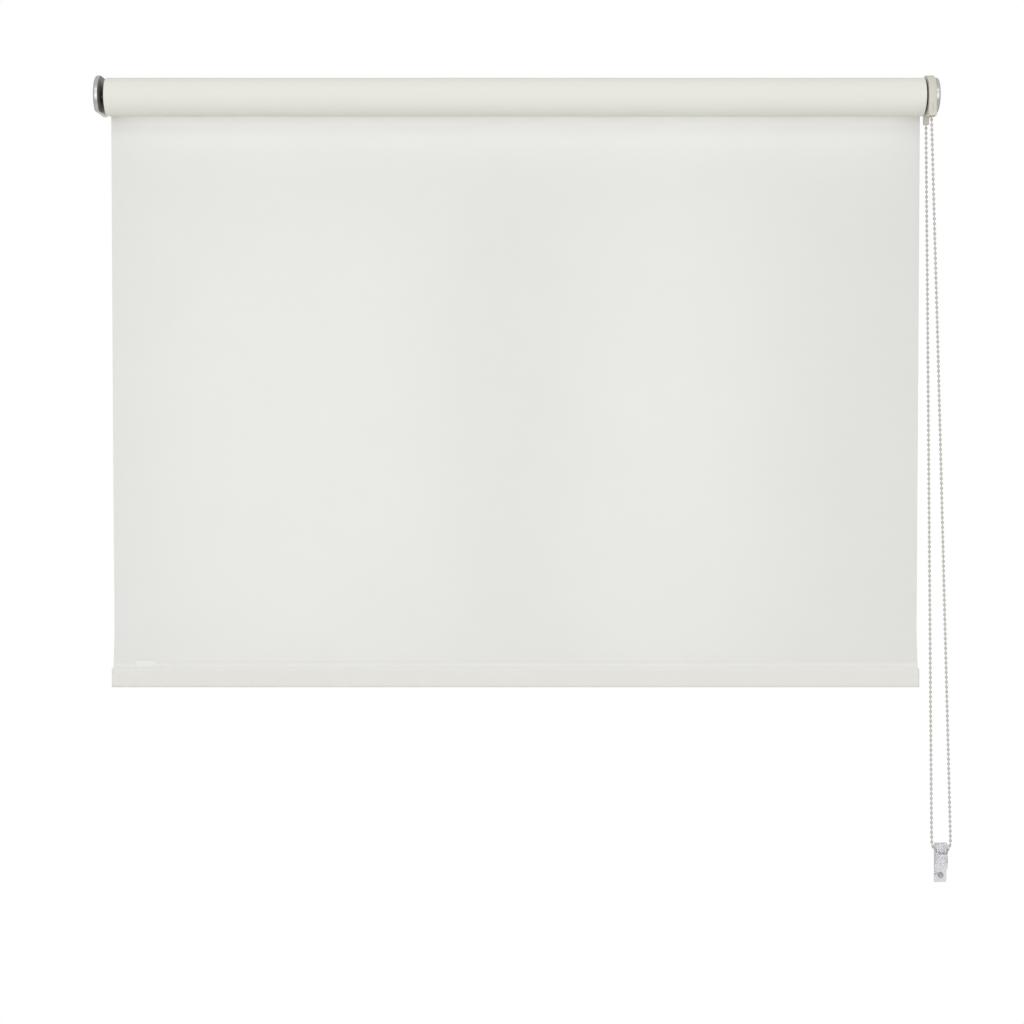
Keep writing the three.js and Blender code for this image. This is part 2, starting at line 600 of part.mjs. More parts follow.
// ---------------------------------------------------------------- clutch at the right end
function clutch() {
  const sleeveBore = WHEEL_BOSS_RADIUS + RUNNING;
  const sleeve = plug(1, sleeveBore + SLEEVE_BOSS_WALL, sleeveBore, sleeveBore);
  piece('drive_sleeve', sleeve, BLACK_PLASTIC());

  // The hub: a round shaft with a groove for its ring, and a square that stops it turning in the
  // right arm.
  const hubStart = GUARD_END - HUB_LENGTH;
  const grooveStart = hubStart + HUB_GROOVE_INSET;
  const grooveEnd = grooveStart + HUB_GROOVE_WIDTH;
  const shaft = [
    [hubStart, 0],
    [hubStart, HUB_RADIUS],
    [grooveStart, HUB_RADIUS],
    [grooveStart, HUB_RADIUS - HUB_GROOVE_DEPTH],
    [grooveEnd, HUB_RADIUS - HUB_GROOVE_DEPTH],
    [grooveEnd, HUB_RADIUS],
    [GUARD_END - GUARD_FACE, HUB_RADIUS],
    [GUARD_END - GUARD_FACE, 0],
  ];
  const half = HUB_SQUARE / 2;
  const squareStart = GUARD_END - GUARD_FACE - GAP;
  const square = block(squareStart, HUB_END, -half - AXIS_TO_WALL, half - AXIS_TO_WALL, -half, half);
  const holeFloor = HUB_END - CLUTCH_SCREW_LENGTH - HUB_HOLE_SPARE;
  const screwHole = rod(holeFloor, HUB_END + 1, CLUTCH_SCREW_RADIUS + RUNNING, SMALL);
  const hub = cut(join(solid(turned(shaft, ROUND)), solid(square)), solid(screwHole));
  piece('clutch_hub', hub, GREY_PLASTIC());

  const ringInner = HUB_RADIUS - HUB_GROOVE_DEPTH + GAP;
  const ringOuter = HUB_RADIUS + RETAINING_RING_PROUD;
  const wholeRing = ring(grooveStart + GAP, grooveEnd - GAP, ringInner, ringOuter, ROUND);
  const mouthHalf = RETAINING_RING_MOUTH / 2;
  const [mouthBack, mouthFront] = [-AXIS_TO_WALL - mouthHalf, -AXIS_TO_WALL + mouthHalf];
  const mouth = block(hubStart, grooveEnd + 1, mouthBack, mouthFront, -ringOuter - 1, 0);
  piece('hub_retaining_ring', cut(solid(wholeRing), solid(mouth)), STEEL());

  const head = HUB_END + GAP;
  const screw = [
    [head + CLUTCH_SCREW_HEAD_HEIGHT, 0],
    [head + CLUTCH_SCREW_HEAD_HEIGHT, CLUTCH_SCREW_HEAD - 1],
    [head + CLUTCH_SCREW_HEAD_HEIGHT / 2, CLUTCH_SCREW_HEAD],
    [head, CLUTCH_SCREW_HEAD],
    [head, CLUTCH_SCREW_RADIUS],
    [head - CLUTCH_SCREW_LENGTH, CLUTCH_SCREW_RADIUS],
    [head - CLUTCH_SCREW_LENGTH, 0],
  ];
  piece('clutch_screw', turned(screw, SMALL), STEEL());

  chainWheel(grooveEnd + RUNNING);

  // The two wrap springs grip the hub until the wheel's edge opens them.
  let end = grooveEnd;
  for (const name of ['wrap_spring_inner', 'wrap_spring_outer']) {
    const start = end + WRAP_SPRING_SPACE;
    end = start + WRAP_SPRING_LENGTH;
    const spring = coil(start, end, WRAP_SPRING_RADIUS, WRAP_SPRING_WIRE, WRAP_SPRING_TURNS);
    piece(name, spring, STEEL());
  }
}

// The chain wheel: a grooved rim with a pocket for each bead, and a hollow boss inside the sleeve.
function chainWheel(bossStart) {
  const wheelStart = WHEEL_X - WHEEL_WIDTH / 2;
  const wheelEnd = WHEEL_X + WHEEL_WIDTH / 2;
  const rim = solid(ring(wheelStart, wheelEnd, HUB_RADIUS + RUNNING, WHEEL_RADIUS, ROUND));
  const boss = solid(ring(bossStart, wheelStart + 1, WHEEL_BORE, WHEEL_BOSS_RADIUS, ROUND));
  // The groove is round at its floor and open outwards.
  const groove = [[WHEEL_X - GROOVE_RADIUS, WHEEL_RADIUS + 1]];
  for (let i = 0; i <= 4; i += 1) {
    const turn = Math.PI * (1 + i / 4);
    const [along, out] = [GROOVE_RADIUS * Math.cos(turn), GROOVE_RADIUS * Math.sin(turn)];
    groove.push([WHEEL_X + along, PITCH_RADIUS + out]);
  }
  groove.push([WHEEL_X + GROOVE_RADIUS, WHEEL_RADIUS + 1], groove[0]);
  const pockets = [];
  for (let i = 0; i < WHEEL_POCKETS; i += 1) {
    const turn = (2 * Math.PI * i) / WHEEL_POCKETS;
    const pocket = new THREE.SphereGeometry(POCKET_RADIUS, 6, 4);
    const [y, z] = [PITCH_RADIUS * Math.cos(turn) - AXIS_TO_WALL, PITCH_RADIUS * Math.sin(turn)];
    pocket.translate(WHEEL_X, y, z);
    pockets.push(solid(pocket));
  }
  piece('chain_wheel', cut(join(rim, boss), solid(turned(groove, ROUND)), ...pockets), GREY_PLASTIC());
}

// ---------------------------------------------------------------- chain guard
function chainGuard() {
  const middle = -AXIS_TO_WALL;
  const front = middle - PITCH_RADIUS;
  const rear = middle + PITCH_RADIUS;
  const room = BEAD_DIAMETER / 2 + 2 * RUNNING; // half the way that the chain needs
  const spoutHalf = SPOUT_WIDTH / 2;
  const shell = solid(rod(GUARD_START, GUARD_END, GUARD_RADIUS, FINE, middle, GUARD_RISE));
  const spout = solid(block(
    WHEEL_X - spoutHalf, WHEEL_X + spoutHalf,
    rear - room - SPOUT_WALL, rear + room + SPOUT_WALL,
    -SPOUT_DEPTH, GUARD_RISE,
  ));
  const spoutWay = solid(block(
    WHEEL_X - spoutHalf + SPOUT_WALL / 2, WHEEL_X + spoutHalf - SPOUT_WALL / 2,
    rear - room, rear + room,
    -SPOUT_DEPTH - 1, 0,
  ));
  // The front leg drops straight from the round front and hides the strand inside it.
  const legFront = middle - GUARD_RADIUS;
  const leg = solid(block(
    GUARD_START, GUARD_END,
    legFront, front + room + GUARD_RIM,
    -LEG_DEPTH, GUARD_RISE,
  ));
  const legWay = solid(block(
    GUARD_START + GUARD_FACE, GUARD_END - GUARD_FACE,
    legFront + GUARD_RIM, front + room,
    -LEG_DEPTH - 1, GUARD_RISE,
  ));
  const slit = solid(block(
    WHEEL_X - GUARD_SLIT_WIDTH / 2, WHEEL_X + GUARD_SLIT_WIDTH / 2,
    legFront - 1, legFront + GUARD_SLIT_DEPTH,
    -GUARD_SLIT_BOTTOM, -GUARD_SLIT_TOP,
  ));
  const hollow = rod(
    GUARD_START + GUARD_FACE, GUARD_END - GUARD_FACE, GUARD_RADIUS - GUARD_RIM, FINE, middle, GUARD_RISE,
  );
  const hubReach = Math.max(HUB_RADIUS, HUB_SQUARE * Math.SQRT1_2);
  const bossHole = rod(GUARD_START - 1, WHEEL_X, WHEEL_BOSS_RADIUS + RUNNING, ROUND);
  const hubHole = rod(WHEEL_X, GUARD_END + 1, hubReach + RUNNING, ROUND);
  const guard = cut(
    join(shell, spout, leg), solid(hollow), spoutWay, legWay, slit, solid(bossHole), solid(hubHole),
  );
  piece('chain_guard', guard, GREY_PLASTIC());
}

// ---------------------------------------------------------------- right end
function rightEnd() {
  const centres = footScrews(RIGHT_ARM, RIGHT_PLATE, 1);
  const half = HUB_SQUARE / 2 + GAP;
  const squareHole = solid(block(
    RIGHT_PLATE - 1, RIGHT_PLATE + PLATE + 1,
    -AXIS_TO_WALL - half, -AXIS_TO_WALL + half,
    -half, half,
  ));
  const holes = centres.map(([x, z]) => wallScrewHole(x, z, PLATE));
  piece('right_bracket', bracket(RIGHT_ARM, RIGHT_PLATE, 1, [squareHole, ...holes]), DARK_STEEL());
  piece('right_cover', cover(RIGHT_ARM, RIGHT_PLATE, RIGHT_COVER_DEPTH, 1), SATIN_SILVER());
  addBracketScrews('right', centres);
}

// ---------------------------------------------------------------- hanging cloth and hem
function clothAndHem() {
  const cloth = block(
    -HALF_WIDTH, HALF_WIDTH, CLOTH_FRONT, CLOTH_FRONT + CLOTH_THICKNESS, HEM_TOP + GAP, 0,
  );
  piece('shade_cloth', cloth, FABRIC());

  // The pocket: the cloth wrapped round the bar and welded to itself above it.
  const sleeve = solid(across(
    ovalOutline(POCKET_HEIGHT, POCKET_THICKNESS, CLOTH_MIDDLE, BAR_MIDDLE), -POCKET_END, POCKET_END,
  ));
  const weldLow = -HEM_DROP + POCKET_HEIGHT - CLOTH_THICKNESS;
  const weld = solid(block(
    -POCKET_END, POCKET_END,
    CLOTH_MIDDLE - CLOTH_THICKNESS, CLOTH_MIDDLE + CLOTH_THICKNESS,
    weldLow, HEM_TOP,
  ));
  const inside = solid(across(
    ovalOutline(POCKET_INNER_HEIGHT, POCKET_INNER_THICKNESS, CLOTH_MIDDLE, BAR_MIDDLE),
    -POCKET_END - 1, POCKET_END + 1,
  ));
  piece('hem_pocket', cut(join(sleeve, weld), inside), FABRIC());

  const hollowHeight = BAR_HEIGHT - 2 * BAR_WALL;
  const hollowThickness = BAR_THICKNESS - 2 * BAR_WALL;
  const section = ovalOutline(BAR_HEIGHT, BAR_THICKNESS, CLOTH_MIDDLE, BAR_MIDDLE);
  section.holes.push(ovalOutline(hollowHeight, hollowThickness, CLOTH_MIDDLE, BAR_MIDDLE));
  piece('bottom_bar', across(section, -POCKET_END, POCKET_END), ALUMINIUM());

  for (const [name, side] of [['bar_cap_left', -1], ['bar_cap_right', 1]]) {
    const flangeInner = side * (POCKET_END + GAP);
    const flangeOuter = side * HEM_END;
    const plugInner = side * (POCKET_END - BAR_CAP_PLUG);
    const flange = solid(across(
      ovalOutline(POCKET_HEIGHT, POCKET_THICKNESS, CLOTH_MIDDLE, BAR_MIDDLE),
      Math.min(flangeInner, flangeOuter), Math.max(flangeInner, flangeOuter),
    ));
    const tongue = solid(across(
      ovalOutline(hollowHeight - 2 * GAP, hollowThickness - 2 * GAP, CLOTH_MIDDLE, BAR_MIDDLE),
      Math.min(plugInner, flangeOuter), Math.max(plugInner, flangeOuter),
    ));
    piece(name, join(flange, tongue), WHITE_PLASTIC());
  }

  const labelBack = CLOTH_MIDDLE - CLOTH_THICKNESS - GAP;
  const labelLeft = -HALF_WIDTH + LABEL_FROM_EDGE;
  const labelTop = HEM_TOP + LABEL_ABOVE_WELD;
  const label = block(
    labelLeft, labelLeft + LABEL_WIDTH,
    labelBack - LABEL_THICKNESS, labelBack,
    labelTop - LABEL_HEIGHT, labelTop,
  );
  piece('blank_label', label, LABEL_STOCK());
}

// ---------------------------------------------------------------- bead chain
// Each stretch of the chain is a plain tube of the beads' diameter.
function chain() {
  const radius = BEAD_DIAMETER / 2;
  const route = (points) => new THREE.CatmullRomCurve3(
    points.map((point) => new THREE.Vector3(...point)), false, 'centripetal',
  );
  piece('chain_front_strand', tube(route(FRONT_STRAND), radius, 8, 24), CHAIN_PLASTIC());
  piece('chain_holder_loop', tube(route(HOLDER_LOOP), radius, 8, 24), CHAIN_PLASTIC());
  piece('chain_back_strand', tube(route(BACK_STRAND), radius, 8, 12), CHAIN_PLASTIC());

  const top = [];
  for (let i = 0; i <= 8; i += 1) {
    const turn = (Math.PI * i) / 8;
    top.push([WHEEL_X, PITCH_RADIUS * Math.cos(turn) - AXIS_TO_WALL, PITCH_RADIUS * Math.sin(turn)]);
  }
  piece('chain_on_wheel', tube(route(top), radius, 8, 14), CHAIN_PLASTIC());
}

// ---------------------------------------------------------------- chain holder on the wall
function chainHolder() {
  const half = HOLDER_WIDTH / 2;
  const [left, right] = [HOLDER_X - half, HOLDER_X + half];
  const bottom = HOLDER_TOP - HOLDER_HEIGHT;
  const blockFront = -HOLDER_BACK - BEAD_DIAMETER - 4 * RUNNING;
  const seam = HOLDER_TOP - HOLDER_SEAM;

  // The back plate carries a saddle above the chain and a block below it.
  const plate = solid(block(left, right, -HOLDER_BACK, 0, bottom, HOLDER_TOP));
  const body = solid(block(left, right, blockFront, -1, HOLDER_TOP - HOLDER_BLOCK, HOLDER_TOP));
  const groove = circleOutline(HOLDER_GROOVE_RADIUS, HOLDER_X, HOLDER_TOP);
  const way = solid(offWall(groove, -HOLDER_BACK, blockFront - 1));
  const disc = solid(offWall(circleOutline(HOLDER_SADDLE_RADIUS, HOLDER_X, HOLDER_TOP), -1, blockFront));
  const saddle = disc.intersect(solid(block(left, right, blockFront, -1, bottom, HOLDER_TOP)));
  const clipRoom = HOLDER_CLIP + GAP;
  const clipLow = seam - GAP;
  const clipHigh = seam + HOLDER_CLIP_HEIGHT + GAP;
  const clipSpace = (x0, x1) => solid(block(x0, x1, blockFront - 1, -HOLDER_BACK, clipLow, clipHigh));
  const leftRoom = clipSpace(left - 1, left + clipRoom);
  const rightRoom = clipSpace(right - clipRoom, right + 1);
  const screwZ = bottom + HOLDER_SCREW_UP;
  const hole = wallScrewHole(HOLDER_X, screwZ, HOLDER_BACK);
  const base = cut(join(plate, cut(body, way), saddle), leftRoom, rightRoom, hole);
  piece('chain_holder_base', base, CLEAR_PLASTIC());

  const coverBack = blockFront - GAP;
  const face = solid(block(left, right, coverBack - HOLDER_COVER, coverBack, seam, HOLDER_TOP));
  const clips = [left, right - HOLDER_CLIP].map((x) => solid(block(
    x, x + HOLDER_CLIP, coverBack - 1, -HOLDER_BACK - GAP, seam, seam + HOLDER_CLIP_HEIGHT,
  )));
  piece('chain_holder_cover', join(face, ...clips), CLEAR_PLASTIC());
  piece('chain_holder_screw', wallScrew(HOLDER_X, screwZ, -HOLDER_BACK), STEEL());
}

leftEnd();
roller();
idlePlug();
clutch();
chainGuard();
rightEnd();
clothAndHem();
chain();
chainHolder();

export default blind;
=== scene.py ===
# %% [markdown]
# # A chain-operated roller blind
# This notebook dresses a finished mechanical model of a roller blind. The model says where every
# part is and how it moves, so nothing is placed by eye here: each piece reads its place from the
# frame, and rides on the body that carries it. All lengths are in metres, +X runs along the roll
# to the chain side, -Y points into the room and +Z is up.

# %% Load the mechanical model
import json
import math

import bmesh
import bpy
import numpy as np
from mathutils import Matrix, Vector

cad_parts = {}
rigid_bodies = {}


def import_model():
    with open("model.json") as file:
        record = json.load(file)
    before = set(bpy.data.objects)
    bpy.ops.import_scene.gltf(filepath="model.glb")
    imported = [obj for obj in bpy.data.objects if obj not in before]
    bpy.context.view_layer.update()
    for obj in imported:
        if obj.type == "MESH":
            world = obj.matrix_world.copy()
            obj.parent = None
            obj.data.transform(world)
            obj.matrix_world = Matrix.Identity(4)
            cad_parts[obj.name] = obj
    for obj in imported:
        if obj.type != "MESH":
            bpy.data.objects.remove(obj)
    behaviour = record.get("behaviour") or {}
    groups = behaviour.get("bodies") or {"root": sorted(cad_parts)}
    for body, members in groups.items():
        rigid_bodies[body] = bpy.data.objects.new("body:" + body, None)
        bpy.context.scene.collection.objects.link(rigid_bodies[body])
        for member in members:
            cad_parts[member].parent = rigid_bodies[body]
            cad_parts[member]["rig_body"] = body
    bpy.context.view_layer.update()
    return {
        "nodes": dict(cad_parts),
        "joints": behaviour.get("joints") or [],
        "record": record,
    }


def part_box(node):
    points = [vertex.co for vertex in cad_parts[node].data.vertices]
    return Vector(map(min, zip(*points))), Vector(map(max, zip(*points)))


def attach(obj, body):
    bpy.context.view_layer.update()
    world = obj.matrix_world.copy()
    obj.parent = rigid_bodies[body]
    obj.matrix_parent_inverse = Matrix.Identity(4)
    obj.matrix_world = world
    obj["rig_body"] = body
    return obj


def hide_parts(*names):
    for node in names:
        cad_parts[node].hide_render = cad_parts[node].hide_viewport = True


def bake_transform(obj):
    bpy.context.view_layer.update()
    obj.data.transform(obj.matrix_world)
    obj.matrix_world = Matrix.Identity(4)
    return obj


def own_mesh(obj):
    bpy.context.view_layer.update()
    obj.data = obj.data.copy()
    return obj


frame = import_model()
MM = 0.001

# %% [markdown]
# ## Where the viewer stands
# A blind is best seen square on, from far enough away that the roll's ends show only a little of
# their sides. A shifted lens keeps the camera level, so uprights stay upright, while the view takes
# in the chain below. The other way, tilting the camera, would make the long edges of the cloth
# converge.

# %% Camera
VIEW_DISTANCE = 2.358
EYE_HEIGHT = -0.3833
EYE_SIDE = -0.0044
LENS = 66.7
SENSOR = 36
VIEW_SHIFT = -0.0994

camera_lens = bpy.data.cameras.new("camera")
camera_lens.sensor_width = SENSOR
camera_lens.lens = LENS
camera_lens.shift_y = VIEW_SHIFT
camera = bpy.data.objects.new("camera", camera_lens)
camera.location = (EYE_SIDE, -VIEW_DISTANCE, EYE_HEIGHT)
camera.rotation_euler = (math.radians(90), 0, 0)
bpy.context.scene.collection.objects.link(camera)
bpy.context.scene.camera = camera
print("camera stands", VIEW_DISTANCE, "m off the wall")

# %% [markdown]
# ## Values that flow between shader nodes
# A finish is a little sum: a base colour, plus some weave, minus some dirt. Wiring Math nodes by
# hand hides that sum. This small class wraps one socket, so that `base + 0.02 * weave` adds the
# nodes itself. Everything that isn't plain arithmetic comes from `node`, which takes a node's type,
# its settings and the values or links of its sockets. Colours are mixed by `blended`, because a
# Math node would turn them grey.

# %% Shader arithmetic
class Flow:
    """One value on its way between shader nodes."""

    def __init__(self, tree, socket=None):
        self.tree = tree
        self.socket = socket

    def node(self, kind, settings=None, inputs=None, output=0):
        made = self.tree.nodes.new(kind)
        for name, value in (settings or {}).items():
            setattr(made, name, value)
        for place, value in (inputs or {}).items():
            if isinstance(value, Flow):
                self.tree.links.new(value.socket, made.inputs[place])
            else:
                made.inputs[place].default_value = value
        return Flow(self.tree, made.outputs[output] if made.outputs else None)

    def maths(self, operation, first, second):
        return self.node("ShaderNodeMath", {"operation": operation}, {0: first, 1: second})

    def __add__(self, other):
        return self.maths("ADD", self, other)

    def __radd__(self, other):
        return self.maths("ADD", other, self)

    def __sub__(self, other):
        return self.maths("SUBTRACT", self, other)

    def __rsub__(self, other):
        return self.maths("SUBTRACT", other, self)

    def __mul__(self, other):
        return self.maths("MULTIPLY", self, other)

    def __rmul__(self, other):
        return self.maths("MULTIPLY", other, self)

    def sine(self):
        return self.node("ShaderNodeMath", {"operation": "SINE"}, {0: self})

    def parts(self):
        return [self.node("ShaderNodeSeparateXYZ", None, {0: self}, axis) for axis in range(3)]

    def stretched(self, x, y, z):
        return self.node("ShaderNodeVectorMath", {"operation": "MULTIPLY"}, {0: self, 1: (x, y, z)})

    def noise(self, scale, detail=3, roughness=0.5):
        inputs = {"Vector": self, "Scale": scale, "Detail": detail, "Roughness": roughness}
        return self.node("ShaderNodeTexNoise", None, inputs)

    def blended(self, first, second):
        return self.node("ShaderNodeMix", {"data_type": "RGBA"}, {0: self, 6: first, 7: second}, 2)

    def bumped(self, height, strength=1.0):
        inputs = {"Height": height, "Strength": strength, "Distance": 1.0}
        return self.node("ShaderNodeBump", None, inputs)


def linear(level):
    """The amount of light behind one 0 to 255 level of a screen colour."""
    share = level / 255
    return share / 12.92 if share <= 0.04045 else ((share + 0.055) / 1.055) ** 2.4


def paint(red, green, blue):
    """A colour from its everyday 0 to 255 values."""
    return (linear(red), linear(green), linear(blue), 1)


def start_finish(name):
    """A new material, its flow, and the place on the piece in metres."""
    material = bpy.data.materials.new(name)
    material.use_nodes = True
    material.node_tree.nodes.clear()
    flow = Flow(material.node_tree)
    return material, flow, flow.node("ShaderNodeTexCoord", None, None, 3)


def end_finish(material, flow, surface):
    """The material with that surface as its output."""
    flow.node("ShaderNodeOutputMaterial", None, {"Surface": surface})
    return material


print("a mid grey of 128 holds", round(linear(128), 3), "of full light")

# %% [markdown]
# ## Meshes from points
# Most pieces here are rows of points joined by quads: a roll, a cloth, a cover. Modifiers on primitives
# could make some of them, but points worked out from sizes follow the mechanical model exactly. One
# helper turns points and faces into a piece with its faces outwards. Another marks the sharp edges, so
# that round parts shade smoothly, hangs the piece on the body that it rides on, and hides the CAD parts
# it stands for.

# %% Mesh helpers
def settle(piece, finish, body, stands_for=(), crease=35):
    """Shades a piece, ties it to its body, and hides the CAD parts it stands for."""
    mesh = piece.data
    mesh.materials.clear()
    mesh.materials.append(finish)
    mesh.shade_smooth()
    mesh.set_sharp_from_angle(angle=math.radians(crease))
    if body:
        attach(piece, body)
    if stands_for:
        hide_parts(*stands_for)
    return piece


def piece_from(name, points, faces, turn_out=True):
    """A new piece from points and faces, with all its faces turned outwards."""
    mesh = bpy.data.meshes.new(name)
    mesh.from_pydata([tuple(map(float, point)) for point in points], [], faces)
    if turn_out:
        shape = bmesh.new()
        shape.from_mesh(mesh)
        bmesh.ops.recalc_face_normals(shape, faces=shape.faces)
        shape.to_mesh(mesh)
        shape.free()
    piece = bpy.data.objects.new(name, mesh)
    bpy.context.scene.collection.objects.link(piece)
    return piece


def quads(rows, columns, wrap_rows=False, wrap_columns=False, first=0):
    """The faces of a grid of rows by columns points, closed on itself where it wraps."""
    faces = []
    for row in range(rows if wrap_rows else rows - 1):
        below = (row + 1) % rows
        for column in range(columns if wrap_columns else columns - 1):
            beside = (column + 1) % columns
            corners = ((row, column), (row, beside), (below, beside), (below, column))
            faces.append([first + r * columns + c for r, c in corners])
    return faces


def closed_sheet(rows, columns):
    """The faces of two grids, front points first and then back points, joined round their rim."""
    count = rows * columns
    faces = quads(rows, columns) + [face[::-1] for face in quads(rows, columns, first=count)]
    rim = [row * columns for row in range(rows)]
    rim += [(rows - 1) * columns + column for column in range(1, columns)]
    rim += [row * columns + columns - 1 for row in range(rows - 2, -1, -1)]
    rim += list(range(columns - 2, 0, -1))
    for here, there in zip(rim, rim[1:] + rim[:1]):
        faces.append([here, there, there + count, here + count])
    return faces


def smoothstep(share):
    """A share that eases in and out between 0 and 1."""
    share = np.clip(share, 0, 1)
    return share * share * (3 - 2 * share)


print("a sheet of 3 by 3 points has", len(closed_sheet(3, 3)), "faces")

# %% [markdown]
# ## The bead chain
# The chain is a loop of small moulded beads on a thin cord, 6 mm from bead to bead. It goes over
# the toothed wheel in its guard, down the front, under a saddle in the holder on the wall, and up
# the back. A plain tube could carry a beaded bump map, but the gaps between real beads show against
# the light, so every bead is modelled: one small ball is copied along the route, its poles in line
# with the cord.

# %% Chain finish
def chain_finish():
    """Pale grey moulded plastic, a little glossy where fingers have polished it."""
    material, flow, place = start_finish("chain_plastic")
    tone = place.noise(90, 2)
    colour = tone.blended(paint(180, 180, 172), paint(196, 196, 189))
    grain = place.noise(2600, 2) * 0.00002
    surface = flow.node("ShaderNodeBsdfPrincipled", None, {
        "Base Color": colour,
        "Roughness": 0.3 + 0.12 * tone,
        "Normal": flow.bumped(grain),
        "Coat Weight": 0.25,
    })
    return end_finish(material, flow, surface)


CHAIN_PLASTIC = chain_finish()
print("chain finish has", len(CHAIN_PLASTIC.node_tree.nodes), "nodes")

# %% [markdown]
# The route starts at the top of the wheel. Its straight stretches and the turn in the holder are a
# short list of points, as someone would pin a cord to a board, and a smooth curve goes through them
# all. The wheel's share is an arc of its pitch circle, whose size follows from its pockets and the
# distance between beads. A hanging cord could be simulated, but this one is held taut at both ends.

# %% Chain route
AXIS = Vector(next(joint["pos_m"] for joint in frame["joints"] if joint["name"] == "roller_spin"))
BEAD_PITCH = 0.006
BEAD_RADIUS = 0.0019
BEAD_STRETCH = 1.14
LINK_RADIUS = 0.0007
WHEEL_POCKETS = 16
guard_low, guard_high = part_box("chain_guard")
WHEEL_X = (guard_low.x + guard_high.x) / 2
PITCH_RADIUS = WHEEL_POCKETS * BEAD_PITCH / (2 * math.pi)
print("the chain wheel is", round(2 * PITCH_RADIUS / MM, 1), "mm across its pitch circle")

# %% Where the strands and the holder's turn run
FRONT_STRAND = [
    (0.50585, -0.0503, -0.0005),
    (0.50585, -0.0502, -0.020),
    (0.5076, -0.0479, -0.070),
    (0.5176, -0.0348, -0.325),
    (0.5285, -0.0204, -0.625),
    (0.5385, -0.0072, -0.900),
]
HOLDER_LOOP = [
    (0.5388, -0.0070, -0.9130),
    (0.5387, -0.0070, -0.9205),
    (0.5366, -0.0070, -0.9266),
    (0.5330, -0.0070, -0.9310),
    (0.5283, -0.0070, -0.9328),
    (0.5230, -0.0070, -0.9310),
    (0.5186, -0.0070, -0.9266),
    (0.5160, -0.0070, -0.9205),
    (0.5156, -0.0070, -0.9130),
]
BACK_STRAND = [
    (0.5154, -0.0072, -0.900),
    (0.5124, -0.0111, -0.625),
    (0.5092, -0.0152, -0.325),
    (0.5063, -0.0192, -0.080),
    (0.50585, -0.0197, -0.033),
    (0.50585, -0.0197, -0.0005),
]
print("chain points chosen by hand:", len(FRONT_STRAND + HOLDER_LOOP + BACK_STRAND))


# %% A smooth line round the whole loop
def wheel_arc(start, stop, steps):
    """Points on the wheel's pitch circle, by the angle above the room side."""
    turns = np.radians(np.linspace(start, stop, steps))
    y = AXIS.y - PITCH_RADIUS * np.cos(turns)
    z = AXIS.z + PITCH_RADIUS * np.sin(turns)
    return np.column_stack([np.full(steps, WHEEL_X), y, z])


def rounded_route(points, steps=24):
    """A centripetal Catmull-Rom curve through the points, as a fine line."""
    points = np.array(points, float)
    padded = np.vstack([2 * points[0] - points[1], points, 2 * points[-1] - points[-2]])
    line = []
    for i in range(len(points) - 1):
        p = padded[i:i + 4]
        knots = np.concatenate([[0], np.cumsum(np.linalg.norm(np.diff(p, axis=0), axis=1) ** 0.5)])
        for t in np.linspace(knots[1], knots[2], steps, endpoint=False):
            a = [(knots[k + 1] - t) * p[k] + (t - knots[k]) * p[k + 1] for k in range(3)]
            a = [a[k] / (knots[k + 1] - knots[k]) for k in range(3)]
            b = [(knots[k + 2] - t) * a[k] + (t - knots[k]) * a[k + 1] for k in range(2)]
            b = [b[k] / (knots[k + 2] - knots[k]) for k in range(2)]
            line.append(((knots[2] - t) * b[0] + (t - knots[1]) * b[1]) / (knots[2] - knots[1]))
    line.append(points[-1])
    return np.array(line)


free_run = rounded_route(FRONT_STRAND + HOLDER_LOOP + BACK_STRAND)
loop_line = np.vstack([wheel_arc(90, 1, 30), free_run, wheel_arc(179, 90, 30)])
steps_along = np.linalg.norm(np.diff(loop_line, axis=0), axis=1)
run_to = np.concatenate([[0], np.cumsum(steps_along)])
bead_count = round(run_to[-1] / BEAD_PITCH)
pitch = run_to[-1] / bead_count
print("chain loop", round(run_to[-1], 4), "m,", bead_count, "beads,", round(pitch / MM, 3), "mm apart")


def along_chain(distance):
    """The point that far round the loop, from the top of the wheel down the front."""
    distance = np.asarray(distance) % run_to[-1]
    return np.column_stack([np.interp(distance, run_to, loop_line[:, axis]) for axis in range(3)])


# %% Beads and the cord between them
def ball(segments=12, rings=7):
    """A bead about the Z axis, slightly longer than it is wide, with its small collars."""
    rows = []
    for ring in range(rings):
        polar = math.pi * (ring + 0.6) / (rings + 0.2)
        radius = BEAD_RADIUS * math.sin(polar)
        height = BEAD_RADIUS * BEAD_STRETCH * math.cos(polar)
        for segment in range(segments):
            turn = 2 * math.pi * segment / segments
            rows.append((radius * math.cos(turn), radius * math.sin(turn), height))
    faces = quads(rings, segments, wrap_columns=True)
    faces.append(list(range(segments))[::-1])
    faces.append([(rings - 1) * segments + segment for segment in range(segments)])
    return np.array(rows), faces


def link(sides=6):
    """A stretch of cord that reaches from inside one bead into the next."""
    rows = []
    for height in (0.25 * pitch, 0.75 * pitch):
        for side in range(sides):
            turn = 2 * math.pi * side / sides
            rows.append((LINK_RADIUS * math.cos(turn), LINK_RADIUS * math.sin(turn), height))
    ends = [list(range(sides))[::-1], list(range(sides, 2 * sides))]
    return np.array(rows), quads(2, sides, wrap_columns=True) + ends


def threaded(parts):
    """The parts copied once for each bead, with Z turned along the chain."""
    points = []
    faces = []
    for bead in range(bead_count):
        here, ahead = along_chain([bead * pitch, bead * pitch + 0.2 * pitch])
        turn = Vector(ahead - here).to_track_quat("Z", "Y").to_matrix()
        for rows, sides in parts:
            first = len(points)
            points.extend(rows @ np.array(turn).T + here)
            faces.extend([first + corner for corner in face] for face in sides)
    return points, faces


print("one bead has", len(ball()[1]), "faces, and one link", len(link()[1]))

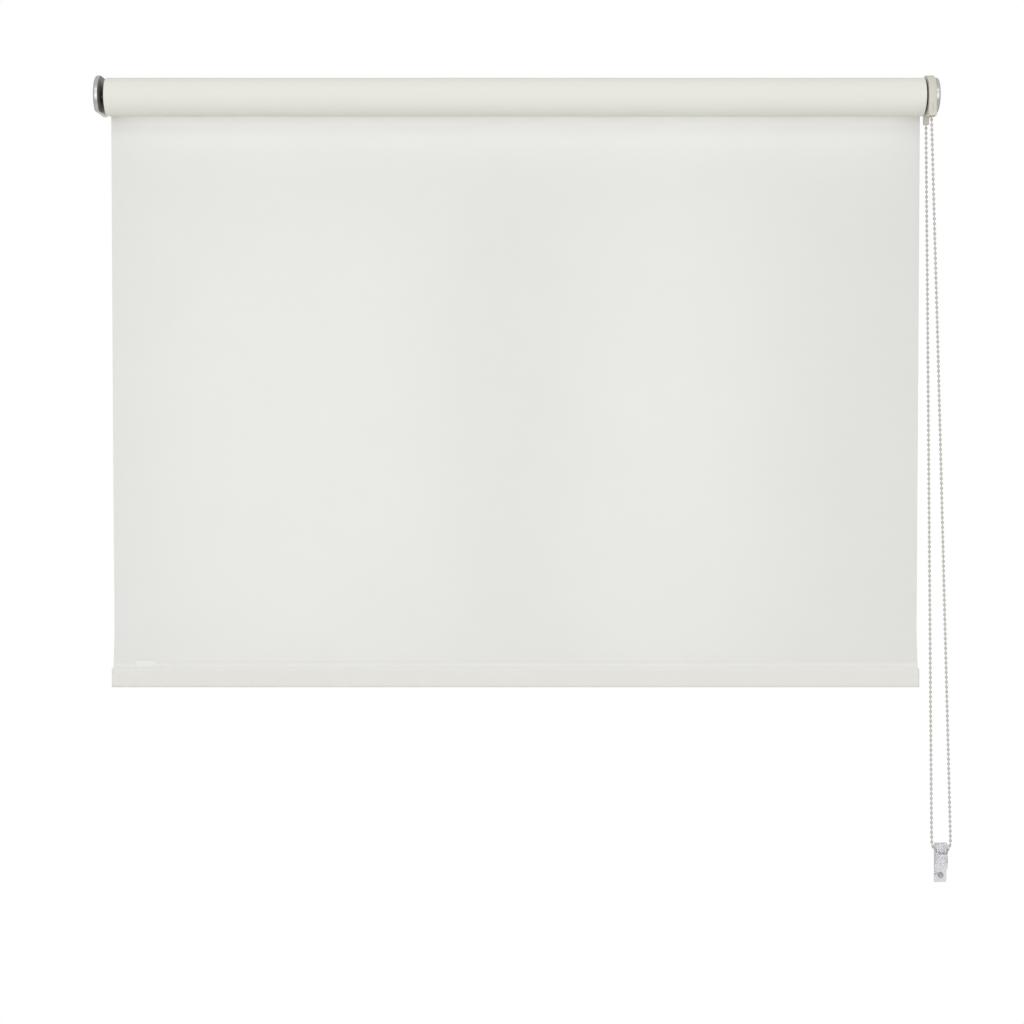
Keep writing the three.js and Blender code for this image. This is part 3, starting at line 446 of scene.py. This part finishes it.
# %% The chain as one piece
chain_points, chain_faces = threaded([ball(), link()])
bead_chain = piece_from("bead_chain", chain_points, chain_faces)
settle(bead_chain, CHAIN_PLASTIC, "root", (
    "chain_front_strand",
    "chain_holder_loop",
    "chain_back_strand",
    "chain_on_wheel",
))
print("bead chain has", len(bead_chain.data.polygons), "faces")

# %% [markdown]
# ## Woven fabric
# The cloth is plain-woven polyester: threads pass over and under each other half a millimetre
# apart, and light from the window glows through it. A tiled image of cloth would show its repeats,
# so the weave is worked out instead. Two sine waves multiplied give the over and under pattern,
# long thin noise gives the uneven threads in both directions, and slow noise gives the soft
# mottling that a large cloth always has. A share of translucent shader lets the glow through.

# %% Fabric finish
THREAD = 0.00055
roll_low, roll_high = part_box("fabric_roll")
ROLL_RADIUS = roll_high.z - AXIS.z
HALF_WIDTH = (roll_high.x - roll_low.x) / 2


def fabric_finish(name, light, dark, glow, round_roll=False):
    """Woven cloth. light and dark are the ends of its colour, and glow the share of translucency."""
    material, flow, place = start_finish(name)
    across, off, along = place.parts()
    if round_roll:
        along = flow.maths("ARCTAN2", along - AXIS.z, AXIS.y - off) * ROLL_RADIUS
    flat_place = flow.node("ShaderNodeCombineXYZ", None, {0: across, 1: along})
    turn = math.pi / THREAD
    weave = (across * turn).sine() * (along * turn).sine()
    warp = flat_place.stretched(900, 9, 1).noise(1, 2)
    weft = flat_place.stretched(9, 900, 1).noise(1, 2)
    mottle = flat_place.noise(7, 4, 0.6)
    threads = 0.5 * warp + 0.5 * weft
    tone = 0.5 * threads + 0.5 * mottle + 0.04 * weave
    height = 0.00004 * weave + 0.00005 * threads
    sheen = flow.node("ShaderNodeBsdfPrincipled", None, {
        "Base Color": tone.blended(dark, light),
        "Roughness": 0.78 + 0.12 * threads,
        "Normal": flow.bumped(height, 0.6),
        "Specular IOR Level": 0.25,
    })
    through = flow.node("ShaderNodeBsdfTranslucent", None, {"Color": light})
    both = flow.node("ShaderNodeMixShader", None, {0: glow, 1: sheen, 2: through})
    return end_finish(material, flow, both)


# The hanging cloth is painted cooler than the rolled cloth, whose warmer tone is the fabric's own; that
# cooler tint is painted daylight shining through the sheet.
CLOTH = fabric_finish("cloth", paint(241, 241, 239), paint(234, 233, 231), 0.5)
ROLLED_CLOTH = fabric_finish("rolled_cloth", paint(237, 236, 228), paint(230, 229, 220), 0.1, True)
HEM_CLOTH = fabric_finish("hem_cloth", paint(245, 244, 240), paint(239, 238, 233), 0.25)
print("cloth weave: one thread every", round(THREAD / MM, 2), "mm each way")

# %% [markdown]
# ## The hanging cloth
# The cloth leaves the back of the roll and hangs by its own weight and the bar's. A taut blind is
# never a flat plane: the bar pulls it straight, so its free edges draw in by a few millimetres
# towards the bottom and spring out again at the bar, and long soft waves run down it. A simulation
# would find the same curves slowly, and with this little slack it would mostly find noise, so the
# known shape is written down: a draw-in, three slow waves and a slight curl at the edges. The sheet
# starts a little way round the roll, where it lies on the turn below.

# %% Shape of the cloth
cloth_low, cloth_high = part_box("shade_cloth")
hem_low, hem_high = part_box("hem_pocket")
SHEET = cloth_high.y - cloth_low.y
DRAW_IN = 0.004
DRAW_IN_START = -0.03
DRAW_IN_FULL = -0.655
SPRING_OUT = 0.0009
CURL_WIDTH = 0.045
TUCKED_IN = 0.0035
WRAP_ANGLE = math.radians(24)


def draw_in(z):
    """How far each side edge has drawn in at height z."""
    falling = np.clip((z - DRAW_IN_START) / (DRAW_IN_FULL - DRAW_IN_START), 0, 1)
    springing = smoothstep((DRAW_IN_FULL - z) / (DRAW_IN_FULL - cloth_low.z))
    return DRAW_IN * falling - SPRING_OUT * springing


def wave(x, z):
    """How far the cloth stands off its plane, towards the room."""
    free = np.sin(np.pi * np.clip(z / cloth_low.z, 0, 1))
    slow = 0.45 * np.sin(9.2 * x + 0.7) + 0.3 * np.sin(17 * x - 1.9 + 1.2 * z)
    short = 0.2 * np.sin(31 * x + 2.3 - 2 * z)
    edge = smoothstep((np.abs(x) - 0.5 + CURL_WIDTH) / CURL_WIDTH)
    return MM * free * (slow + short + 0.9 * edge)


print("the edges draw in by", DRAW_IN / MM, "mm and spring out again by", SPRING_OUT / MM, "mm")

# %% The sheet itself
def hanging_sheet(columns=181, rows=161):
    """Front and back of the sheet as two grids joined at their edges."""
    u = np.linspace(-1, 1, columns)
    lap = np.linspace(WRAP_ANGLE, 0, 7)[:-1]
    drop = cloth_low.z - TUCKED_IN
    sides = []
    for front in (True, False):
        grid = []
        for angle in lap:
            settled = 1 - angle / WRAP_ANGLE
            off = (0.02 + 0.28 * settled) * MM + (0 if front else SHEET * settled)
            radius = ROLL_RADIUS + off
            y = np.full(columns, AXIS.y + radius * math.cos(angle))
            z = np.full(columns, AXIS.z + radius * math.sin(angle))
            grid.append(np.column_stack([u * HALF_WIDTH, y, z]))
        for z in np.linspace(0, drop, rows):
            x = u * (HALF_WIDTH - draw_in(z))
            y = (cloth_low.y if front else cloth_high.y) - wave(x, z)
            grid.append(np.column_stack([x, y, np.full(columns, z)]))
        sides.append(np.vstack(grid))
    return np.vstack(sides), closed_sheet(len(lap) + rows, columns)


sheet_points, sheet_faces = hanging_sheet()
hanging_cloth = piece_from("hanging_cloth", sheet_points, sheet_faces)
settle(hanging_cloth, CLOTH, None, ("shade_cloth",), crease=60)
print("cloth", len(hanging_cloth.data.polygons), "faces")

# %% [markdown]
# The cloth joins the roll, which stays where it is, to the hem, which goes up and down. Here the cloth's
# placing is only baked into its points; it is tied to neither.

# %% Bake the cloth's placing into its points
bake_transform(hanging_cloth)

# %% [markdown]
# ## The roll
# The rest of the fabric is wound on the tube. A cylinder would do for the outside, but its ends are
# in plain view past the brackets, and there a real roll shows its turns, each a little in or out of
# line with the last. So the inner turns are one long spiral strip, and the last turn is a closed
# skin round it, which has no step to travel round as the roller spins. The skin swells and sinks by
# a few hundredths of a millimetre, as layers of cloth do.

# %% Wound fabric
SKIN = 0.00045
END_PLAY = 0.0013
TURN_PITCH = 0.0005
TURN_THICKNESS = 0.84 * TURN_PITCH
END_ROUND = 0.15 * MM
TUBE_CLEARANCE = 0.0003
roll_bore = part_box("roller_tube")[1].z - AXIS.z + TUBE_CLEARANCE
print("the fabric is wound from", round(roll_bore / MM, 1), "to", round(ROLL_RADIUS / MM, 1), "mm")


# %% The inner turns
def end_line(turns):
    """How far in from the roll's end the fabric's edge lies, turn by turn."""
    return MM * (0.28 + 0.16 * np.sin(2.1 * turns) + 0.12 * np.sin(5.3 * turns + 1))


def spiral_strip(steps_per_turn=72):
    """The inner turns: a strip wound from the tube outwards."""
    inside = ROLL_RADIUS - SKIN - 0.0001
    turns = (inside - roll_bore - TURN_PITCH) / TURN_PITCH
    wound = np.linspace(0, turns, int(turns * steps_per_turn))
    radius = roll_bore + TURN_PITCH * wound
    rows = []
    for side, lift in ((-1, 0), (1, 0), (1, TURN_THICKNESS), (-1, TURN_THICKNESS)):
        x = side * (HALF_WIDTH - end_line(wound)) - (END_PLAY if side > 0 else 0)
        y = AXIS.y + (radius + lift) * np.cos(2 * np.pi * wound)
        z = AXIS.z + (radius + lift) * np.sin(2 * np.pi * wound)
        rows.append(np.column_stack([x, y, z]))
    count = len(wound)
    points = np.stack(rows, axis=1).reshape(-1, 3)
    faces = quads(count, 4, wrap_columns=True)
    faces += [[0, 1, 2, 3], [4 * count - 1, 4 * count - 2, 4 * count - 3, 4 * count - 4]]
    return points, faces


inner_points, inner_faces = spiral_strip()
print("inner turns have", len(inner_faces), "faces")


# %% The last turn
def outer_skin(sides=120, stations=81):
    """The last turn: a closed skin with soft swells and rounded cut ends."""
    turn = np.linspace(0, 2 * np.pi, sides, endpoint=False)
    left, right = -HALF_WIDTH, HALF_WIDTH - END_PLAY
    cut_edge = [(END_ROUND, 0.5 * SKIN), (0.2 * END_ROUND, 0.1 * SKIN)]
    rows = [(left + inset, ROLL_RADIUS - drop) for inset, drop in cut_edge]
    rows += [(x, ROLL_RADIUS) for x in np.linspace(left, right, stations)]
    rows += [(right - inset, ROLL_RADIUS - drop) for inset, drop in cut_edge[::-1]]
    rows += [(right - END_ROUND, ROLL_RADIUS - SKIN), (left + END_ROUND, ROLL_RADIUS - SKIN)]
    points = []
    for x, radius in rows:
        swell = 0.06 * np.sin(14 * x + turn) + 0.04 * np.sin(37 * x - 2 * turn + 1) - 0.1
        reach = radius + (MM * swell if radius > ROLL_RADIUS - 0.2 * SKIN else 0)
        y = AXIS.y + reach * np.cos(turn)
        z = AXIS.z + reach * np.sin(turn)
        points.append(np.column_stack([np.full(sides, x), y, z]))
    return np.vstack(points), quads(len(rows), sides, wrap_rows=True, wrap_columns=True)


skin_points, skin_faces = outer_skin()
skin_faces = [[len(inner_points) + corner for corner in face] for face in skin_faces]
wound_roll = piece_from("wound_roll", np.vstack([inner_points, skin_points]), inner_faces + skin_faces)
settle(wound_roll, ROLLED_CLOTH, "roller", ("fabric_roll",), crease=50)
print("roll", round(2 * ROLL_RADIUS / MM, 1), "mm across,", len(wound_roll.data.polygons), "faces")

# %% [markdown]
# ## The hem
# At the bottom the cloth goes round a flat aluminium bar and is welded to itself above it. From the
# front that reads as a pressed line, then the cloth easing out over the bar and turning under it.
# The section is one outline: a thin strip and a flat oval, joined by a soft maximum so that the
# cloth leaves the weld without a corner. Sweeping it along the width in many short steps leaves
# room for the small unevenness of a sewn or welded edge.

# %% Hem sizes
WELD_STRIP = 0.0085
WELD_LINE_DROP = 0.0045
WELD_LINE_DEPTH = 0.00014
WELD_LINE_WIDTH = 0.0011
EASE_OUT = 0.0066
EASE_SOFTNESS = 0.0006
TOP_FOLD = 0.0004
weld_low = hem_high.z - WELD_STRIP
weld_line = hem_high.z - WELD_LINE_DROP
POCKET_HALF = (hem_high.y - hem_low.y) / 2
HEM_MIDDLE = (hem_high.y + hem_low.y) / 2
POCKET_TALL = weld_low - hem_low.z + 0.0005
pocket_middle = hem_low.z + POCKET_TALL / 2
POCKET_RISE = POCKET_TALL / 2 - POCKET_HALF
print("hem pocket", round(POCKET_TALL / MM, 1), "mm tall under a weld of", WELD_STRIP / MM, "mm")


# %% Hem section

def hem_half_thickness(z):
    """Half the hem's thickness from its top edge down to where the pocket is full."""
    above = z - (pocket_middle + POCKET_RISE)
    pocket = POCKET_HALF * (1 - min(above / EASE_OUT, 1) ** 2)
    strip = SHEET - WELD_LINE_DEPTH * math.exp(-(((z - weld_line) / WELD_LINE_WIDTH) ** 2))
    lean = 0.5 + 0.5 * math.tanh((pocket - strip) / EASE_SOFTNESS)
    top_fold = min(1, (hem_high.z - z) / TOP_FOLD)
    return (strip + lean * (pocket - strip)) * (0.55 + 0.45 * top_fold)


def hem_outline():
    """The hem's section as (side, height) points, clockwise from its top edge."""
    falls = np.linspace(hem_high.z, pocket_middle + POCKET_RISE, 44)
    front = [(-hem_half_thickness(z), z) for z in falls]
    flank = [(-POCKET_HALF, z) for z in np.linspace(falls[-1], pocket_middle - POCKET_RISE, 7)[1:]]
    under = []
    for turn in np.linspace(0, math.pi, 21)[1:-1]:
        under.append((-POCKET_HALF * math.cos(turn), -POCKET_HALF * math.sin(turn)))
    under = [(side, pocket_middle - POCKET_RISE + drop) for side, drop in under]
    back = [(-side, z) for side, z in reversed(front + flank)]
    return front + flank + under + back


def inside_hem(side, z):
    """The nearest point on the space inside the pocket, where the bar lies."""
    rise = min(max(z, pocket_middle - POCKET_RISE), pocket_middle + POCKET_RISE)
    away = Vector((side, z - rise))
    away = away.normalized() * (POCKET_HALF - SHEET) if away.length else Vector((0, 0))
    return away.x, rise + away.y


print("the hem's section has", len(hem_outline()), "points")


# %% The hem's sleeve
def hem_piece(stations=161):
    """The sleeve, swept along the width with a slightly uneven surface."""
    outline = hem_outline()
    inner = [inside_hem(side, z) for side, z in outline]
    count = len(outline)
    points = []
    for share in np.linspace(-1, 1, stations):
        for loop, is_outer in ((outline, True), (inner, False)):
            for side, z in loop:
                weld_share = smoothstep((z - weld_low) / 0.004)
                x = share * hem_high.x
                swell = 0.09 * math.sin(23 * x + 1) + 0.06 * math.sin(61 * x + 90 * z)
                loose = MM * swell * (1 - weld_share) if is_outer else 0
                sag = -abs(loose) if z < pocket_middle else 0
                points.append((x, HEM_MIDDLE + side * (1 - abs(loose) / POCKET_HALF), z - 0.4 * sag))
    faces = []
    for offset in (0, count):
        for station in range(stations - 1):
            here = station * 2 * count + offset
            there = here + 2 * count
            for i in range(count):
                j = (i + 1) % count
                faces.append([here + i, here + j, there + j, there + i])
    for start in (0, (stations - 1) * 2 * count):
        for i in range(count):
            j = (i + 1) % count
            faces.append([start + i, start + j, start + count + j, start + count + i])
    return points, faces


hem_points, hem_faces = hem_piece()
hem_sleeve = piece_from("hem_sleeve", hem_points, hem_faces)
settle(hem_sleeve, HEM_CLOTH, "hem", ("hem_pocket",), crease=50)
print("hem sleeve has", len(hem_sleeve.data.polygons), "faces")

# %% [markdown]
# ## The blank tab
# The tab at the hem's left is a scrap of woven ribbon, pressed on with its top edge a little free. A
# thin box would do from afar, but its square corners would catch the light, so it is a small sheet
# with eased corners. Fine ribs run across it, and it is left blank.

# %% Blank tab
RIB = 0.0003
TAB_CORNER = 0.0012
TAB_PRESSED_IN = 0.00025
label_low, label_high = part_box("blank_label")


def tab_finish():
    """Ribbon with fine ribs across it."""
    material, flow, place = start_finish("tab")
    ribs = (place.parts()[2] * (math.pi / RIB)).sine()
    tone = place.noise(300, 3)
    surface = flow.node("ShaderNodeBsdfPrincipled", None, {
        "Base Color": tone.blended(paint(222, 222, 218), paint(231, 231, 227)),
        "Roughness": 0.5 + 0.15 * tone,
        "Normal": flow.bumped(0.00003 * ribs + 0.00002 * tone, 0.7),
    })
    return end_finish(material, flow, surface)


def tab_piece(columns=27, rows=13):
    """Front and back of the tab, its corners eased and its top edge lifted."""
    thickness = (label_high.y - label_low.y) * 0.7
    sides = []
    for front in (True, False):
        for v in np.linspace(0, 1, rows):
            for u in np.linspace(-1, 1, columns):
                corner = TAB_CORNER * max(0, abs(u) - 0.95) / 0.05 * max(0, abs(2 * v - 1) - 0.86) / 0.14
                x = (label_low.x + label_high.x) / 2 + u * ((label_high.x - label_low.x) / 2 - corner)
                lift = 0.0001 * v ** 3
                y = label_high.y + TAB_PRESSED_IN - lift - (thickness if front else 0)
                sides.append((x, y, label_low.z + v * (label_high.z - label_low.z)))
    return sides, closed_sheet(rows, columns)


tab = piece_from("tab", *tab_piece())
settle(tab, tab_finish(), "hem", ("blank_label",))
print("tab", round((label_high.x - label_low.x) / MM), "mm wide, left blank")

# %% [markdown]
# ## Moulded and metal finishes
# The hardware is moulded plastic, zinc-plated or painted steel, and drawn aluminium. Moulded
# plastic has a fine even grain and slightly different gloss from place to place. Plated steel has a
# soft mottle. Drawn metal has long scratches one way. One function makes them all from a few words:
# two tones, a roughness, how metallic it is, and the size and stretch of its grain.

# %% Hardware finishes
def hard_finish(name, light, dark, roughness, metallic=0.0, grain=900, depth=0.00002, draw=(1, 1, 1),
                constants=None):
    """Moulded plastic or metal. draw stretches the grain, for metal drawn or brushed one way."""
    material, flow, place = start_finish(name)
    fine = place.stretched(*draw).noise(grain, 3, 0.6)
    slow = place.noise(45, 3, 0.55)
    tone = 0.6 * slow + 0.4 * fine
    surface = flow.node("ShaderNodeBsdfPrincipled", None, {
        "Base Color": tone.blended(dark, light),
        "Metallic": metallic,
        "Roughness": roughness - 0.06 + 0.12 * tone,
        "Normal": flow.bumped(fine * depth, 0.8),
        **(constants or {}),
    })
    return end_finish(material, flow, surface)


FINISHES = {
    "satin_silver": hard_finish("satin_silver", paint(198, 198, 199), paint(178, 178, 179), 0.35, 0.85,
                                grain=1400, depth=0.000012, draw=(0.3, 1, 1)),
    "grey_plastic": hard_finish("grey_plastic", paint(208, 204, 194), paint(196, 192, 181), 0.45),
    "white_plastic": hard_finish("white_plastic", paint(236, 236, 231), paint(226, 226, 219), 0.4),
    "black_plastic": hard_finish("black_plastic", paint(52, 49, 46), paint(34, 32, 30), 0.5),
    "zinc_steel": hard_finish("zinc_steel", paint(198, 199, 200), paint(160, 162, 163), 0.32, 1.0,
                              grain=1800),
    "dark_steel": hard_finish("dark_steel", paint(150, 145, 132), paint(126, 121, 108), 0.5, 0.1,
                              grain=1500, depth=0.00004),
    "aluminium": hard_finish("aluminium", paint(214, 215, 217), paint(184, 186, 188), 0.28, 1.0,
                             grain=1200, draw=(0.02, 1, 1)),
    "clear_plastic": hard_finish("clear_plastic", paint(251, 251, 253), paint(245, 245, 249), 0.14,
                                 grain=500, constants={"Transmission Weight": 0.92, "IOR": 1.46}),
}
print("hardware finishes:", ", ".join(FINISHES))

# %% [markdown]
# ## The covers over the brackets
# Each bracket wears a snap-on cover of satin silver plastic: round in front, straight on top, flat
# underneath and open to the wall. It could be cut from a cylinder, but its rim is rounded all the
# way along, corner and flats alike, and that is easier as a stack of outlines. Each outline is the
# same shape drawn in by a little more, and the stack goes up the outside, over the rounded edge,
# and back down the inside.

# %% Cover outlines
COVER_WALL = 0.0014
COVER_EDGE = 0.0018
COVER_CORNER = 0.007
LEAST_CORNER = 0.0008
DOME = 0.0003
DOME_REACH = 0.011


def cover_line(radius, rise, flat, inset, wall_y):
    """The cover's outline in (y, z), from the wall over the top, round the front and back."""
    r = radius - inset
    corner = max(COVER_CORNER - inset, LEAST_CORNER)
    bottom = -flat + inset
    drop = bottom + corner - rise
    back = math.sqrt((r - corner) ** 2 - drop ** 2)
    meet = math.pi + math.atan2(-drop, back)
    line = [(wall_y + (AXIS.y - wall_y) * share, rise + r) for share in np.linspace(0, 1, 9)[:-1]]
    for turn in np.linspace(math.pi / 2, meet, 57):
        line.append((AXIS.y + r * math.cos(turn), rise + r * math.sin(turn)))
    corner_y = AXIS.y - back
    for turn in np.linspace(meet, 1.5 * math.pi, 17)[1:]:
        line.append((corner_y + corner * math.cos(turn), bottom + corner + corner * math.sin(turn)))
    return line + [(corner_y + (wall_y - corner_y) * share, bottom) for share in np.linspace(0, 1, 9)[1:]]


print("cover walls", COVER_WALL / MM, "mm, their edges rounded by", COVER_EDGE / MM, "mm")


# %% The two covers
def cover_piece(node, side):
    """A cover built on its CAD part's box. side is +1 where its closed face looks along +X."""
    low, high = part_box(node)
    radius = AXIS.y - low.y
    rise = high.z - radius
    open_x, face_x = (low.x, high.x) if side > 0 else (high.x, low.x)
    outer = [(0.0, 0.0004), (0.0002, 0.0001), (0.0005, 0.0)]
    depth = abs(face_x - open_x)
    for turn in np.linspace(0, math.pi / 2, 9):
        along = depth - DOME - COVER_EDGE * (1 - math.sin(turn))
        outer.append((along, COVER_EDGE * (1 - math.cos(turn))))
    for share in (0.12, 0.3, 0.55, 0.8):
        outer.append((depth - DOME * (1 - share) ** 2, COVER_EDGE + share * DOME_REACH))
    inner = [(0.0, COVER_WALL - 0.0003), (0.0003, COVER_WALL), (0.001, COVER_WALL)]
    while len(inner) < len(outer) - 1:
        share = (len(inner) - 2) / (len(outer) - 4)
        inner.append((depth - COVER_WALL - 0.0012 * (1 - share), COVER_WALL + 0.0012 * share))
    inner.append((depth - COVER_WALL, COVER_WALL + 0.006))
    points = []
    for rings in (outer, inner):
        for along, inset in rings:
            line = cover_line(radius, rise, -low.z, inset, high.y)
            points.extend((open_x + side * along, y, z) for y, z in line)
    width = len(cover_line(radius, rise, -low.z, 0, high.y))
    rings = len(outer)
    start = rings * width
    faces = quads(rings, width) + quads(rings, width, first=start)
    faces += [[i, i + 1, start + i + 1, start + i] for i in range(width - 1)]
    faces.append([(rings - 1) * width + i for i in range(width)])
    faces.append([start + (rings - 1) * width + i for i in range(width)])
    tops = [ring * width for ring in range(rings)]
    bottoms = [ring * width + width - 1 for ring in range(rings)]
    back = tops + bottoms[::-1] + [start + i for i in bottoms] + [start + i for i in tops[::-1]]
    return points, faces + [back]


for node, side, name in (("left_cover", -1, "end_cover_left"), ("right_cover", 1, "end_cover_right")):
    cover = piece_from(name, *cover_piece(node, side))
    settle(cover, FINISHES["satin_silver"], "root", (node,), crease=50)
    print(name, len(cover.data.polygons), "faces")

# %% [markdown]
# ## Parts whose shape is already right
# Brackets, screws, plugs, the clutch, the guard and the chain holder come from the mechanical
# model with knife-sharp edges, which no moulding or casting has. A bevel of a few tenths of a
# millimetre gives each edge the thin line of light that makes it look real. The mechanical parts
# themselves mustn't change, so each gets a copy that is welded, bevelled and shaded, and that
# stands for it. The record says which finish each part has. A spring is round already, so it only
# gets its finish.

# %% How to ease a part's edges
FINISH_OF = {row["node"]: row["material_slot"] for row in frame["record"]["subparts"]}
print("parts with a finish in the record:", len(FINISH_OF))


def eased(node, edge, segments=2, sharp=32):
    """A copy of a CAD part with its sharp edges rounded by edge millimetres."""
    source = frame["nodes"][node]
    shape = bmesh.new()
    shape.from_mesh(source.data)
    bmesh.ops.remove_doubles(shape, verts=shape.verts, dist=1e-6)
    bmesh.ops.dissolve_limit(shape, angle_limit=math.radians(1), verts=shape.verts, edges=shape.edges)
    corners = [e for e in shape.edges if e.is_manifold and e.calc_face_angle() > math.radians(sharp)]
    if edge:
        bmesh.ops.bevel(
            shape, geom=corners, offset=edge * MM, offset_type="OFFSET", segments=segments,
            profile=0.5, affect="EDGES", clamp_overlap=True,
        )
    mesh = bpy.data.meshes.new(node + "_eased")
    shape.to_mesh(mesh)
    shape.free()
    piece = bpy.data.objects.new(node + "_eased", mesh)
    bpy.context.scene.collection.objects.link(piece)
    slot = FINISH_OF[node]
    return settle(piece, FINISHES[slot], source["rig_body"], (node,), crease=sharp + 8)


# %% Copies with eased edges
EASED_EDGES = {
    "left_bracket": 0.3,
    "right_bracket": 0.3,
    "left_wall_screw_upper": 0.12,
    "left_wall_screw_lower": 0.12,
    "right_wall_screw_upper": 0.12,
    "right_wall_screw_lower": 0.12,
    "idle_bush": 0.2,
    "idle_pin": 0.25,
    "idle_plug": 0.2,
    "spring_seat": 0.15,
    "idle_spring": 0,
    "drive_sleeve": 0.2,
    "chain_wheel": 0.1,
    "wrap_spring_inner": 0,
    "wrap_spring_outer": 0,
    "clutch_hub": 0.25,
    "hub_retaining_ring": 0.15,
    "clutch_screw": 0.15,
    "chain_guard": 0.45,
    "roller_tube": 0.1,
    "fabric_spline": 0.1,
    "bottom_bar": 0.1,
    "bar_cap_left": 0.35,
    "bar_cap_right": 0.35,
    "chain_holder_base": 0.35,
    "chain_holder_cover": 0.4,
    "chain_holder_screw": 0.12,
}
for node, edge in EASED_EDGES.items():
    copy = eased(node, edge)
    print(copy.name, len(copy.data.polygons), "faces")

# %% [markdown]
# ## The sprung pin
# The pin at the left end slides into its plug when the roller is lifted out of the bracket, and its
# spring shortens by as much. Here the spring's copy is only given a mesh of its own.

# %% The spring's copy gets a mesh of its own
spring = bpy.data.objects["idle_spring_eased"]
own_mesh(spring)

# %% [markdown]
# ## The floor
# A plain pale floor lies a little below the lowest place that the hem can reach. A large plane
# would do as well, but its horizon would draw a line behind the blind. A disc of about three metres
# keeps the blind against plain white.

# %% Floor
FLOOR_RADIUS = 1.6
FLOOR_SIDES = 96
FLOOR_CLEARANCE = 0.06
LOWEST_HEM = min(joint["range_m"][0] for joint in frame["joints"] if joint["name"] == "hem_lift")
floor_z = hem_low.z + LOWEST_HEM - FLOOR_CLEARANCE


def floor_finish():
    """Smooth matt paint with faint clouds in it."""
    material, flow, place = start_finish("floor")
    tone = place.noise(6, 3)
    surface = flow.node("ShaderNodeBsdfPrincipled", None, {
        "Base Color": tone.blended(paint(243, 243, 242), paint(248, 248, 247)),
        "Roughness": 0.8 + 0.1 * tone,
    })
    return end_finish(material, flow, surface)


turns = np.linspace(0, 2 * np.pi, FLOOR_SIDES, endpoint=False)
floor_rim = FLOOR_RADIUS * np.column_stack([np.cos(turns), np.sin(turns)])
floor_points = np.column_stack([floor_rim, np.full(FLOOR_SIDES, floor_z)])
floor = piece_from("floor", floor_points, [list(range(FLOOR_SIDES))], turn_out=False)
floor.data.materials.append(floor_finish())
print("floor at", round(floor_z, 3), "m")

# %% [markdown]
# ## The surroundings
# The blind is lit evenly from all round. The surroundings are white to the eye, and a little dimmer
# to the blind, so that its off-white cloth stands out from them. An image of a room could light it
# too, but plain white is calmer. The sky is slightly brighter overhead than underfoot.

# %% Surroundings
SKY_LEVEL = 0.7
SKY_TILT = 0.1
bpy.context.scene.view_settings.view_transform = "Standard"
world = bpy.data.worlds.new("surroundings")
world.use_nodes = True
world.node_tree.nodes.clear()
sky = Flow(world.node_tree)
height = sky.node("ShaderNodeTexCoord").parts()[2]
lighting = sky.node("ShaderNodeBackground", None, {
    "Color": (1, 1, 1, 1),
    "Strength": SKY_LEVEL + SKY_TILT * height,
})
backdrop = sky.node("ShaderNodeBackground", None, {"Color": (1, 1, 1, 1), "Strength": 1.0})
seen = sky.node("ShaderNodeLightPath")
sky.node("ShaderNodeOutputWorld", None, {
    "Surface": sky.node("ShaderNodeMixShader", None, {0: seen, 1: lighting, 2: backdrop}),
})
bpy.context.scene.world = world
print("surroundings light the blind at", SKY_LEVEL, "of white")

# %% [markdown]
# ## The lights
# A long soft light stands in front, and another high up makes the top of the roll brighter than its
# belly and draws a highlight down each satin cover. The rest of the lights are behind the cloth,
# because a blind hangs at a window and its cloth glows: one is as wide as the window, two narrower
# ones stand for its panes, and a thin one for the gap under the roll, where the daylight comes in
# at the top. The glow could be painted into the cloth, but then it would move with the hem.

# %% Lights
def soft_light(name, place, aim, width, tall, power, tint=(1, 1, 1)):
    """A rectangular light at a place, turned to its aim and hidden from the camera."""
    lamp = bpy.data.lights.new(name, "AREA")
    lamp.shape = "RECTANGLE"
    lamp.size = width
    lamp.size_y = tall
    lamp.energy = power
    lamp.color = tint
    holder = bpy.data.objects.new(name, lamp)
    holder.location = place
    holder.rotation_euler = (Vector(aim) - Vector(place)).to_track_quat("-Z", "Y").to_euler()
    bpy.context.scene.collection.objects.link(holder)
    holder.visible_camera = False


soft_light("front_light", (0, -3.2, -0.3), (0, 0, -0.3), 2.8, 1.6, 31)
soft_light("high_light", (0, -2.6, 1.5), (0, 0, 0), 2.4, 0.5, 12)
soft_light("window_light", (0, 0.9, -0.4), (0, 0, -0.4), 1.5, 1.1, 1.3)
DAYLIGHT = (0.97, 0.99, 1)
POWER_PER_WIDTH = 0.72
for pane, width in ((-0.275, 0.4), (0.19, 0.25)):
    power = POWER_PER_WIDTH * width
    soft_light("pane_light", (pane, 0.1, -0.4), (pane, 0, -0.4), width, 0.62, power, DAYLIGHT)
soft_light("top_gap_light", (0, 0.034, -0.02), (0, 0, -0.02), 0.98, 0.028, 0.16)
print("lights:", [light.name for light in bpy.data.lights])
